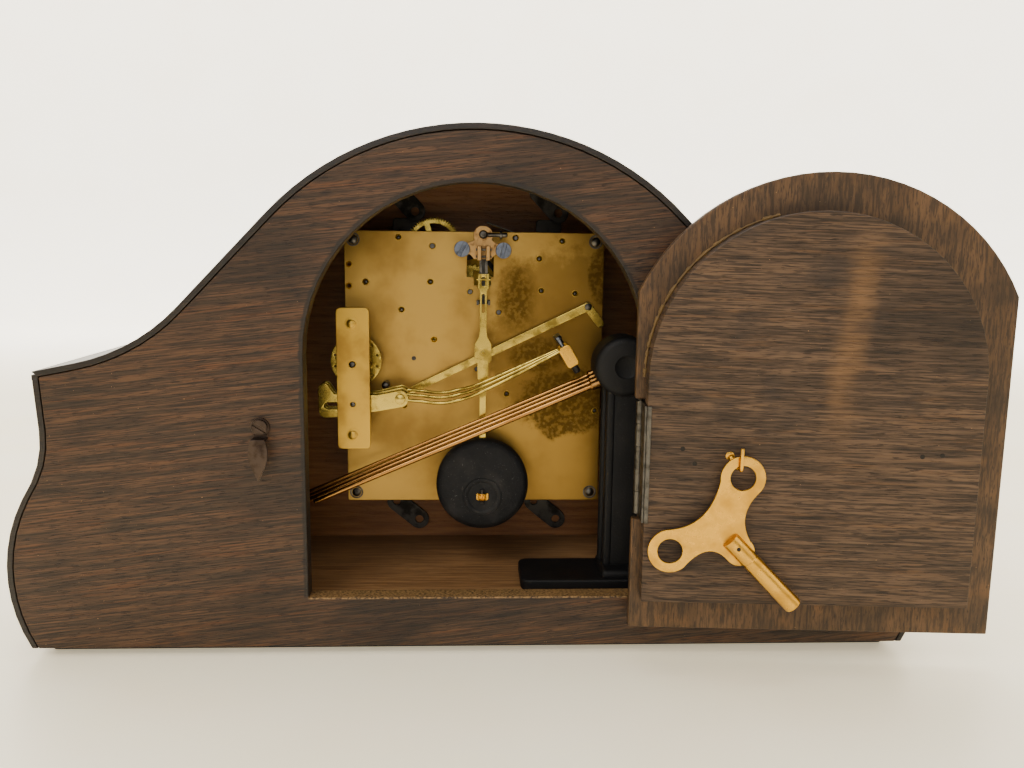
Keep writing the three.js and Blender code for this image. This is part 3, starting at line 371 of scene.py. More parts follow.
def refined(node: str, finish: Material, body: Body | str, edge: float,
            sharp: float = 32.0) -> bpy.types.Object:
    """Makes a smooth copy of a node of the frame, its sharp edges rounded by a bevel.

    Args:
        node: the frame's node.
        finish: its material.
        body: what it rides on.
        edge: width of the bevel in millimetres.
        sharp: the angle in degrees from which an edge is bevelled.

    Returns:
        The object.
    """
    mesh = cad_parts[node].data.copy()
    mesh.name = node + "_finished"
    settle(mesh, sharp, True)
    thing = bpy.data.objects.new(node + "_finished", mesh)
    bpy.context.scene.collection.objects.link(thing)
    bevel = thing.modifiers.new("edge", "BEVEL")
    bevel.width = edge * MM
    bevel.segments = 2
    bevel.limit_method = "ANGLE"
    bevel.angle_limit = math.radians(sharp)
    bevel.harden_normals = True
    bevel.use_clamp_overlap = True
    dress(thing, finish, body.value if isinstance(body, Body) else body, (node,))
    return thing


# ---- Finishes ----


def linear(code: str) -> tuple[float, float, float, float]:
    """Returns the linear colour of an sRGB hex code."""
    value = np.array([int(code[i : i + 2], 16) for i in (0, 2, 4)]) / 255
    low = value / 12.92
    high = ((value + 0.055) / 1.055) ** 2.4
    return (*np.where(value <= 0.04045, low, high).tolist(), 1.0)


class Recipe:
    """One material's node tree while it is being built."""

    def __init__(self, name: str) -> None:
        """Starts an empty material."""
        self.material = bpy.data.materials.new(name)
        self.material.use_nodes = True
        self.tree = self.material.node_tree
        self.tree.nodes.clear()

    def add(self, kind: str, inputs: dict | None = None, **settings: object) -> bpy.types.Node:
        """Adds a node.

        Args:
            kind: its type.
            inputs: values or sockets for its inputs, by name or number.
            settings: its properties.

        Returns:
            The node.
        """
        node = self.tree.nodes.new(kind)
        for key, value in settings.items():
            setattr(node, key, value)
        for key, value in (inputs or {}).items():
            if isinstance(value, Socket):
                self.tree.links.new(value, node.inputs[key])
            else:
                node.inputs[key].default_value = value
        return node

    def pattern(self, size: tuple, tilt: float = 0.0, detail: float = 3.0, offset: tuple = (0, 0, 0),
                roughness: float = 0.55) -> Socket:
        """Returns soft noise whose features have the given size in millimetres along X, Y and Z."""
        place = self.add("ShaderNodeTexCoord").outputs["Object"]
        turned_place = self.add(
            "ShaderNodeMapping",
            {"Vector": place, "Rotation": (0, math.radians(tilt), 0), "Location": offset},
            vector_type="POINT",
        ).outputs[0]
        scaled = self.add(
            "ShaderNodeVectorMath",
            {0: turned_place, 1: tuple(1 / (s * MM) for s in size)},
            operation="MULTIPLY",
        ).outputs[0]
        noise = self.add(
            "ShaderNodeTexNoise", {"Vector": scaled, "Scale": 1.0, "Detail": detail, "Roughness": roughness}
        )
        return noise.outputs["Fac"]

    def between(self, value: Socket, low: float, high: float) -> Socket:
        """Returns 0 to 1 as the value goes from low to high, smoothly."""
        return self.add(
            "ShaderNodeMapRange",
            {"Value": value, "From Min": low, "From Max": high},
            interpolation_type="SMOOTHSTEP",
            clamp=True,
        ).outputs["Result"]

    def math(self, operation: str, *values: object) -> Socket:
        """Returns a sum, product or other function of values and sockets."""
        return self.add(
            "ShaderNodeMath", dict(enumerate(values)), operation=operation
        ).outputs[0]

    def mix(self, share: Socket | float, below: object, above: object, blend: str = "MIX") -> Socket:
        """Returns one colour laid over another."""
        return self.add(
            "ShaderNodeMix", {0: share, 6: below, 7: above}, data_type="RGBA", blend_type=blend, clamp_result=True
        ).outputs[2]

    def place(self) -> tuple[Socket, Socket, Socket]:
        """Returns the point's X, Y and Z on the object, in metres."""
        where = self.add("ShaderNodeTexCoord").outputs["Object"]
        axes = self.add("ShaderNodeSeparateXYZ", {0: where}).outputs
        return axes[0], axes[1], axes[2]

    def bump(self, height: Socket, depth: float, under: Socket | None = None) -> Socket:
        """Returns a normal from a height, whose full range is the depth in millimetres."""
        inputs: dict = {"Height": height, "Strength": 1.0, "Distance": depth * MM}
        if under is not None:
            inputs["Normal"] = under
        return self.add("ShaderNodeBump", inputs).outputs[0]

    def finish(self, colour: object, roughness: object, normal: Socket | None = None, **fixed: object) -> Material:
        """Closes the tree with the surface's shader.

        Args:
            colour: base colour.
            roughness: how dull it is.
            normal: a bump's normal.
            fixed: other inputs of the shader, with spaces written as underscores.

        Returns:
            The material.
        """
        inputs: dict = {"Base Color": colour, "Roughness": roughness}
        inputs.update({key.replace("_", " "): value for key, value in fixed.items()})
        if normal is not None:
            inputs["Normal"] = normal
        shader = self.add("ShaderNodeBsdfPrincipled", inputs)
        self.add("ShaderNodeOutputMaterial", {"Surface": shader.outputs[0]})
        return self.material


@dataclass(frozen=True)
class Wood:
    """Stained open-pored wood: bands of stain, long streaks of grain and short dark pores.

    The pores are drawn about twice as wide as oak's 0.3 mm, so that they show.
    """

    name: str
    pale: str
    middle: str
    dark: str
    ember: str = "5C331A"
    streak: tuple = (54.0, 54.0, 2.3)
    rib: tuple = (24.0, 24.0, 0.6)
    glow: tuple = (30.0, 30.0, 1.7)
    pore: tuple = (6.0, 6.0, 0.42)
    mottle: float = 55.0
    tilt: float = 0.0
    dull: tuple = (0.42, 0.62)
    coat: float = 0.12
    relief: float = 0.16

    def tone(self, recipe: Recipe) -> tuple[Socket, Socket, Socket]:
        """Returns the grain's colour, its pores and its slow stain."""
        stain = recipe.pattern((self.mottle * 1.6, self.mottle, self.mottle), self.tilt, 2.0)
        streak = recipe.pattern(self.streak, self.tilt, 4.0, (0.3, 0.1, 0.7), 0.65)
        pore = recipe.pattern(self.pore, self.tilt, 2.0, (0.9, 0.4, 0.2), 0.5)
        ribs = recipe.pattern(self.rib, self.tilt, 3.0, (1.3, 2.2, 0.5), 0.6)
        ember = recipe.pattern(self.glow, self.tilt, 2.0, (2.3, 0.2, 1.5), 0.5)
        base = recipe.mix(recipe.between(streak, 0.34, 0.66), linear(self.middle), linear(self.pale))
        warm = recipe.math("MULTIPLY", recipe.between(ember, 0.54, 0.74), 0.5)
        base = recipe.mix(warm, base, linear(self.ember))
        base = recipe.mix(recipe.math("MULTIPLY", recipe.between(stain, 0.48, 0.7), 0.55), base, linear(self.dark))
        base = recipe.mix(recipe.math("MULTIPLY", recipe.between(ribs, 0.42, 0.62), 0.74), base, linear(self.dark))
        nick = recipe.between(recipe.pattern((1.1, 1.1, 0.8), 0, 1.0, (3.1, 0.8, 2.5)), 0.8, 0.83)
        base = recipe.mix(recipe.math("MULTIPLY", nick, 0.6), base, linear("B58A5C"))
        holes = recipe.between(pore, 0.56, 0.68)
        base = recipe.mix(recipe.math("MULTIPLY", holes, 0.75), base, linear(self.dark))
        return base, holes, stain

    def extra(self, recipe: Recipe, colour: Socket) -> Socket:
        """Returns the colour with what is special to one board; here nothing."""
        return colour

    def build(self) -> Material:
        """Returns the material."""
        recipe = Recipe(self.name)
        colour, pores, stain = self.tone(recipe)
        dull = recipe.add(
            "ShaderNodeMapRange", {"Value": stain, "To Min": self.dull[0], "To Max": self.dull[1]}
        ).outputs["Result"]
        height = recipe.math("MULTIPLY", pores, -1.0)
        return recipe.finish(
            self.extra(recipe, colour), dull, recipe.bump(height, self.relief),
            Coat_Weight=self.coat, Coat_Roughness=0.32, Specular_IOR_Level=0.32,
        )


@dataclass(frozen=True)
class BackPanelOak(Wood):
    """The back panel's oak, with black stain round the door hole and a raw sawn sill."""

    hole: tuple = (0.8, 132.0, 72.0, 26.4)  # middle X, arch centre Z, half-width and sill Z

    def extra(self, recipe: Recipe, colour: Socket) -> Socket:
        """Returns the colour with the hole's black line and the sill's bare edge."""
        x, _, z = recipe.place()
        across = recipe.math("SUBTRACT", x, self.hole[0] * MM)
        upward = recipe.math("MAXIMUM", recipe.math("SUBTRACT", z, self.hole[1] * MM), 0.0)
        square = recipe.math("ADD", recipe.math("MULTIPLY", across, across), recipe.math("MULTIPLY", upward, upward))
        away = recipe.math("SUBTRACT", recipe.math("SQRT", square), self.hole[2] * MM)
        ragged = recipe.pattern((3.0, 3.0, 3.0), 0, 3.0)
        wander = recipe.math("MULTIPLY", recipe.math("SUBTRACT", ragged, 0.5), 0.0022)
        line = recipe.between(recipe.math("ADD", away, wander), 0.0022, 0.0012)
        above_sill = recipe.between(z, (self.hole[3] - 0.2) * MM, (self.hole[3] + 0.6) * MM)
        line = recipe.math("MULTIPLY", line, above_sill)
        colour = recipe.mix(recipe.math("MULTIPLY", line, 0.86), colour, linear("1B1815"))
        low = recipe.between(z, (self.hole[3] - 1.0) * MM, (self.hole[3] - 0.35) * MM)
        high = recipe.between(z, (self.hole[3] + 0.4) * MM, (self.hole[3] + 0.15) * MM)
        inside = recipe.between(away, 0.0004, -0.0006)
        fuzz = recipe.between(recipe.pattern((1.1, 0.7, 1.4), 0, 4.0), 0.34, 0.62)
        sill = recipe.math("MULTIPLY", recipe.math("MULTIPLY", low, high), recipe.math("MULTIPLY", inside, fuzz))
        return recipe.mix(sill, colour, linear("8F7047"))


@dataclass(frozen=True)
class FrontBoardOak(Wood):
    """The front board: oak outside, bare brown ply on the face inside the case."""

    inside: float = -43.0  # Y beyond which the wood is bare

    def extra(self, recipe: Recipe, colour: Socket) -> Socket:
        """Returns the colour with the bare inner face."""
        y = recipe.place()[1]
        bare = recipe.between(y, (self.inside - 0.1) * MM, (self.inside + 0.1) * MM)
        grain = recipe.between(recipe.pattern((40.0, 40.0, 2.0)), 0.3, 0.7)
        ply = recipe.mix(grain, linear("7C5230"), linear("98683E"))
        return recipe.mix(bare, colour, ply)


@dataclass(frozen=True)
class DoorOak(Wood):
    """The door's inner board: worn along one upright streak and darkened in patches."""

    def extra(self, recipe: Recipe, colour: Socket) -> Socket:
        """Returns the colour with the pale rubbed streak and the dark marks."""
        x, _, z = recipe.place()
        sway = recipe.math("MULTIPLY", recipe.math("SUBTRACT", recipe.pattern((30.0, 30.0, 30.0)), 0.5), 0.016)
        lean = recipe.math("MULTIPLY", recipe.math("SUBTRACT", z, 0.150), 0.12)
        middle = recipe.math("ADD", recipe.math("ADD", x, 0.1485), recipe.math("ADD", sway, lean))
        beside = recipe.math("ABSOLUTE", middle)
        streak = recipe.between(beside, 0.0095, 0.0)
        tall = recipe.math("MULTIPLY", recipe.between(z, 0.08, 0.15), recipe.between(z, 0.192, 0.166))
        fine = recipe.between(recipe.pattern((18.0, 18.0, 0.7)), 0.3, 0.6)
        grainy = recipe.math("ADD", 0.14, recipe.math("MULTIPLY", fine, 0.3))
        rubbed = recipe.math("MULTIPLY", recipe.math("MULTIPLY", streak, tall), grainy)
        colour = recipe.mix(rubbed, colour, linear("8C6740"))
        smoke = recipe.between(recipe.pattern((34.0, 20.0, 15.0), -14, 3.0, (0.2, 0.5, 0.1)), 0.52, 0.7)
        upper = recipe.between(z, 0.075, 0.13)
        return recipe.mix(recipe.math("MULTIPLY", recipe.math("MULTIPLY", smoke, upper), 0.55), colour,
                          linear("2A2320"))


@dataclass(frozen=True)
class Metal:
    """Bare or lacquered metal with slow tarnish, fine rubbing marks and a little dirt."""

    name: str
    bright: str
    dulled: str
    dull: tuple = (0.22, 0.4)
    patch: float = 14.0
    rub: tuple = (6.0, 6.0, 0.25)
    relief: float = 0.01
    tarnish: tuple = (0.42, 0.68)

    def extra(self, recipe: Recipe, colour: Socket, rough: Socket) -> tuple[Socket, Socket]:
        """Returns colour and roughness with what is special to one piece; here nothing."""
        return colour, rough

    def build(self) -> Material:
        """Returns the material."""
        recipe = Recipe(self.name)
        slow = recipe.pattern((self.patch,) * 3, 0, 4.0)
        rub = recipe.pattern(self.rub, 0, 3.0, (0.4, 0.2, 0.6))
        share = recipe.between(slow, *self.tarnish)
        colour = recipe.mix(share, linear(self.bright), linear(self.dulled))
        level = recipe.math("ADD", recipe.math("MULTIPLY", share, 0.6), recipe.math("MULTIPLY", rub, 0.4))
        rough = recipe.add(
            "ShaderNodeMapRange", {"Value": level, "To Min": self.dull[0], "To Max": self.dull[1]}
        ).outputs["Result"]
        colour, rough = self.extra(recipe, colour, rough)
        return recipe.finish(colour, rough, recipe.bump(rub, self.relief), Metallic=1.0)


@dataclass(frozen=True)
class StainedPlateBrass(Metal):
    """The back plate's rolled brass, eaten brown on one side by a spill of old oil."""

    def extra(self, recipe: Recipe, colour: Socket, rough: Socket) -> tuple[Socket, Socket]:
        """Returns colour and roughness with the brown spill, the corner's black bloom and a painted shade that
        darkens the plate towards -X and the bottom.
        """
        x, _, z = recipe.place()
        wobble = recipe.math("SUBTRACT", recipe.pattern((11.0, 11.0, 11.0), 0, 5.0, (0.1, 0.3, 0.5), 0.68), 0.5)

        def blot(cx: float, cz: float, rx: float, rz: float, soft: float = 0.16) -> Socket:
            """Returns 1 inside a ragged oval and 0 outside it."""
            dx = recipe.math("DIVIDE", recipe.math("SUBTRACT", x, cx * MM), rx * MM)
            dz = recipe.math("DIVIDE", recipe.math("SUBTRACT", z, cz * MM), rz * MM)
            far = recipe.math("ADD", recipe.math("MULTIPLY", dx, dx), recipe.math("MULTIPLY", dz, dz))
            ragged = recipe.math("ADD", far, recipe.math("MULTIPLY", wobble, 1.9))
            return recipe.between(ragged, 1.0 + soft, 1.0 - soft)

        # painted shade: the plate's colour darkens towards -X and the bottom, standing in for the light falling off
        # across it
        slope = recipe.math("ADD", x, recipe.math("MULTIPLY", recipe.math("SUBTRACT", z, 0.130), 0.6))
        painted_shade = recipe.between(slope, 0.045, -0.085)
        colour = recipe.mix(recipe.math("MULTIPLY", painted_shade, 0.7), colour, linear("7D602B"))
        veil = blot(-38.0, 134.0, 32.0, 43.0, 0.3)
        colour = recipe.mix(recipe.math("MULTIPLY", veil, 0.66), colour, linear("634B20"))
        crust = recipe.math("MAXIMUM", blot(-44.0, 103.0, 23.0, 17.0), blot(-19.0, 153.0, 9.0, 17.0, 0.9))
        crust = recipe.math("MAXIMUM", crust, blot(-62.0, 166.0, 8.0, 17.0))
        crust = recipe.math("MAXIMUM", crust, blot(-30.0, 126.0, 14.0, 9.0, 0.6))
        crumbs = recipe.between(recipe.pattern((2.1, 2.1, 2.1), 0, 4.0), 0.38, 0.56)
        crust = recipe.math("MULTIPLY", crust, recipe.math("ADD", 0.42, recipe.math("MULTIPLY", crumbs, 0.34)))
        colour = recipe.mix(crust, colour, linear("4A3714"))
        worn = recipe.math("MAXIMUM", recipe.math("MULTIPLY", crust, 0.75), recipe.math("MULTIPLY", veil, 0.35))
        rough = recipe.math("MAXIMUM", rough, worn)
        return colour, rough


@dataclass(frozen=True)
class Paint:
    """Paint on a rough casting or board: fine grit, with pale dust caught on it."""

    name: str
    colour: str
    dust: str
    dull: float = 0.7
    grit: float = 0.9
    relief: float = 0.12
    dusty: float = 0.5

    def build(self) -> Material:
        """Returns the material."""
        recipe = Recipe(self.name)
        grit = recipe.pattern((self.grit,) * 3, 0, 3.0)
        slow = recipe.pattern((16.0,) * 3, 0, 3.0)
        speck = recipe.between(recipe.pattern((0.8,) * 3, 0, 2.0, (0.7, 0.1, 0.4)), 0.66, 0.76)
        film = recipe.math("MULTIPLY", recipe.between(slow, 0.45, 0.75), 0.22 * self.dusty)
        colour = recipe.mix(film, linear(self.colour), linear(self.dust))
        colour = recipe.mix(recipe.math("MULTIPLY", speck, self.dusty), colour, linear(self.dust))
        rough = recipe.add(
            "ShaderNodeMapRange", {"Value": slow, "To Min": self.dull - 0.12, "To Max": self.dull + 0.1}
        ).outputs["Result"]
        return recipe.finish(colour, rough, recipe.bump(grit, self.relief), Specular_IOR_Level=0.3)


@dataclass
class Finishes:
    """Every material of the clock, built once."""

    # Quarter-sawn oak under brown spirit stain: long streaks with short dark pores.
    oak: Material = field(default_factory=lambda: BackPanelOak(
        "stained_oak_veneer", "573C27", "35271B", "0E0B0A", ember="603819", tilt=-6.5, coat=0.06).build())
    # The front's face veneer, the same oak without the hole's stain.
    front_oak: Material = field(default_factory=lambda: FrontBoardOak(
        "stained_oak_front", "452B1C", "2F1F15", "110D0B", coat=0.1, dull=(0.4, 0.56)).build())
    # Bent plywood skin, stained almost black and waxed, so that it only glints.
    black_ply: Material = field(default_factory=lambda: Wood(
        "blackened_bent_ply", "271D17", "1B1410", "0C0A09", ember="2E1C12", coat=0.15, dull=(0.3, 0.46),
        relief=0.05).build())
    # Oak on the door's inner board: greyer and drier than the back panel.
    door_oak: Material = field(default_factory=lambda: DoorOak(
        "dry_oak_door_board", "624C39", "423224", "17110D", ember="65472A", tilt=1.0, dull=(0.5, 0.68),
        coat=0.0, rib=(17.0, 17.0, 0.6), relief=0.14).build())
    # The door's rim: beech under thin brown stain, fine and cloudy.
    rim_beech: Material = field(default_factory=lambda: Wood(
        "stained_beech_rim", "62482F", "4E3822", "2A2016", ember="704E2B", streak=(9.0, 9.0, 40.0),
        rib=(1.0, 1.0, 9.0), glow=(14.0, 14.0, 14.0), pore=(0.5, 0.5, 3.0), mottle=20.0, dull=(0.46, 0.6),
        coat=0.05, relief=0.04).build())
    # Bare plywood of the floor, pale and plain.
    bare_ply: Material = field(default_factory=lambda: Wood(
        "bare_plywood_floor", "9E7850", "8E6A44", "6B4C2F", ember="A97F54", streak=(90.0, 4.0, 90.0),
        rib=(30.0, 1.6, 30.0), glow=(60.0, 9.0, 60.0), pore=(9.0, 0.6, 9.0), mottle=70.0, dull=(0.4, 0.55),
        coat=0.1, relief=0.03).build())
    # Rolled brass sheet, satin, with the brown spill.
    plate_brass: Material = field(default_factory=lambda: StainedPlateBrass(
        "spilt_on_plate_brass", "AB8A48", "8F7038", dull=(0.34, 0.48), patch=34.0, rub=(0.3, 0.3, 9.0)).build())
    # The same sheet where no oil has reached it.
    sheet_brass: Material = field(default_factory=lambda: Metal(
        "satin_sheet_brass", "B8943F", "997634", dull=(0.32, 0.46), patch=20.0, rub=(0.3, 0.3, 8.0)).build())
    # Stamped and tumbled brass levers, brighter and greener.
    bright_brass: Material = field(default_factory=lambda: Metal(
        "tumbled_brass", "BEA650", "857031", dull=(0.2, 0.36), patch=7.0).build())
    # The key's lacquered brass: warm and almost even.
    key_brass: Material = field(default_factory=lambda: Metal(
        "lacquered_key_brass", "D8A640", "C39234", dull=(0.24, 0.36), patch=9.0, rub=(0.4, 0.4, 0.4)).build())
    # Spotted copper-red cast brass of the cock.
    cast_brass: Material = field(default_factory=lambda: Metal(
        "spotted_cast_brass", "A98656", "66472A", dull=(0.35, 0.6), patch=3.4, tarnish=(0.48, 0.72),
        relief=0.03).build())
    # Drawn bronze rod with a copper bloom, bright along its top.
    gong_bronze: Material = field(default_factory=lambda: Metal(
        "drawn_gong_bronze", "A97C44", "855A2E", dull=(0.2, 0.34), patch=40.0, rub=(9.0, 0.3, 0.3)).build())
    # Dull zinc-grey steel of hinge and brackets.
    steel: Material = field(default_factory=lambda: Metal(
        "dull_steel", "5F5C57", "3E3B37", dull=(0.34, 0.56), patch=4.0, relief=0.02).build())
    # Old steel of the brackets and crutch, dark with oil, and darker still as painted shade for the dim inside of the
    # case.
    old_steel: Material = field(default_factory=lambda: Metal(
        "oily_steel_painted_shade", "4E4C48", "2E2C29", dull=(0.4, 0.6), patch=6.0, relief=0.02).build())
    # Deep blue-black steel of the hands.
    hand_steel: Material = field(default_factory=lambda: Metal(
        "blued_hands", "2B3140", "191C24", dull=(0.3, 0.42), patch=6.0).build())
    # Blued steel of the screws.
    blue_steel: Material = field(default_factory=lambda: Metal(
        "blued_steel", "666C78", "4A4F5A", dull=(0.26, 0.42), patch=3.0).build())
    # Bronzed steel stamping, worn grey on its crown.
    bronzed: Material = field(default_factory=lambda: Metal(
        "bronzed_steel", "4A3F38", "332A25", dull=(0.36, 0.55), patch=5.0, relief=0.02).build())
    # Sand-cast iron under matt black paint, dusty.
    black_paint: Material = field(default_factory=lambda: Paint(
        "black_painted_casting", "0C0C0E", "55524E", dull=0.6, dusty=0.25).build())
    # The bob's rough crackle paint, with grey dust.
    bob_paint: Material = field(default_factory=lambda: Paint(
        "black_crackle_paint", "0B0C10", "77746F", dull=0.7, grit=1.1, relief=0.3, dusty=0.4).build())
    # Oiled black leather of the hammer tips; the same dark finish also paints the shade inside the door's worm holes
    # and the key's pin hole.
    leather: Material = field(default_factory=lambda: Paint(
        "oiled_leather", "16120F", "4B4038", dull=0.55, grit=0.7, dusty=0.3).build())
    # Hide glue squeezed out and chipped.
    glue: Material = field(default_factory=lambda: Paint(
        "dried_hide_glue", "66502F", "8E7348", dull=0.5, grit=1.4, relief=0.3, dusty=0.55).build())
    # Silver-plated brass, matt and a little yellow.
    silvered: Material = field(default_factory=lambda: Metal(
        "silvered_dial", "C9C4B4", "B4AC98", dull=(0.42, 0.55), patch=30.0, rub=(0.4, 0.4, 0.4)).build())
    # Black printing enamel on the dial.
    ink: Material = field(default_factory=lambda: Paint(
        "dial_enamel", "050505", "0E0D0C", dull=0.5, grit=0.6, relief=0.01, dusty=0.05).build())

    def glass(self) -> Material:
        """Returns clear blown glass, a little green."""
        recipe = Recipe("convex_clear_glass")
        film = recipe.between(recipe.pattern((30.0,) * 3), 0.4, 0.8)
        rough = recipe.add("ShaderNodeMapRange", {"Value": film, "To Min": 0.0, "To Max": 0.02}).outputs["Result"]
        return recipe.finish(linear("F2F7F4"), rough, IOR=1.2, Transmission_Weight=1.0)


# ---- Sub-assemblies ----


@dataclass
class CaseWork:
    """The wooden case: front and back boards, bent skins, floor and plinth."""

    finishes: Finishes
    edge: float = 0.5

    def build(self) -> None:
        """Makes every board of the case."""
        kit = self.finishes
        refined("back_panel", kit.oak, Body.CASE, self.edge)
        refined("front_board", kit.front_oak, Body.CASE, 1.6)
        for node in ("top_skin", "end_skin_left", "end_skin_right"):
            refined(node, kit.black_ply, Body.CASE, self.edge)
        seams = [block((side * 182.6 - 1.3, -42.1, 121.5), (side * 182.6 + 1.3, 55.4, 123.7), 0.3)
                 for side in (-1, 1)]
        piece("shoulder_seams", joined(*seams), kit.black_ply, Body.CASE, "moulding")
        refined("plinth", kit.black_ply, Body.CASE, 0.9)
        refined("base_board", kit.bare_ply, Body.CASE, self.edge)


@dataclass
class BackDoor:
    """The arched back door: rim, inner board, hinge, glue and worm holes."""

    finishes: Finishes
    plug_face: float = 46.4  # the inner board's face when the door is shut
    rim_face: float = 56.4
    middle: float = 68.5  # the inner board's middle, from the hinge axis
    half: float = 67.4
    arch: float = 126.1  # height where the inner board's round top starts
    holes: tuple = ((15.8, 97.9), (20.9, 91.8), (112.2, 96.3), (120.1, 96.9))

    def build(self) -> None:
        """Makes the door's pieces."""
        kit = self.finishes
        refined("door_rim", kit.rim_beech, Body.DOOR, 0.7)
        refined("door_plug", kit.door_oak, Body.DOOR, 0.5)
        refined("hinge_door_leaf", kit.steel, Body.DOOR, 0.15)
        refined("hinge_jamb_leaf", kit.steel, Body.CASE, 0.15)
        refined("hinge_pin", kit.steel, Body.CASE, 0.3)
        strip = block((HINGE[0] + 0.9, 45.7, 66.3), (HINGE[0] + 2.7, 46.7, 115.1), 0.25)
        piece("hinge_leaf_lip", strip.moved(OPENED), kit.steel, Body.DOOR, "steel")
        piece("door_glue_line", self.glue(), kit.glue, Body.DOOR, "plywood")
        # the worm holes' dark finish is painted shade for their deep insides
        piece("door_worm_holes", self.worm_holes(), kit.leather, Body.DOOR, "plywood")

    def glue(self) -> Shell:
        """Returns the chipped bead of glue: a wire along the arch whose thickness comes and goes."""
        angle = np.radians(np.linspace(180, 104, 150))
        reach = self.half + 0.5
        x = HINGE[0] + self.middle + reach * np.cos(angle)
        z = self.arch + reach * np.sin(angle)
        path = np.stack([x, np.full_like(x, self.rim_face - 0.5), z], axis=-1)
        bead = tube(path, 0.85, 8)
        dice = np.random.default_rng(4)
        rows = bead.points.reshape(-1, 8, 3)
        lump = np.repeat(0.2 + 0.9 * dice.random(len(rows) // 3 + 1), 3)[: len(rows)]
        centre = rows.mean(axis=1, keepdims=True)
        rows[:] = centre + (rows - centre) * lump[:, None, None]
        return bead.moved(OPENED)

    def worm_holes(self) -> Shell:
        """Returns the four flight holes as shallow cups, given a dark finish as painted shade for the holes' deep
        insides.
        """
        cup = [(0, -0.02), (0.85, -0.02), (1.0, -0.05), (0.85, -0.09), (0.4, -0.05), (0, -0.04)]
        cups = [turned(cup, (HINGE[0] + along, self.plug_face, z), "Y", 14) for along, z in self.holes]
        return joined(*cups).moved(OPENED)


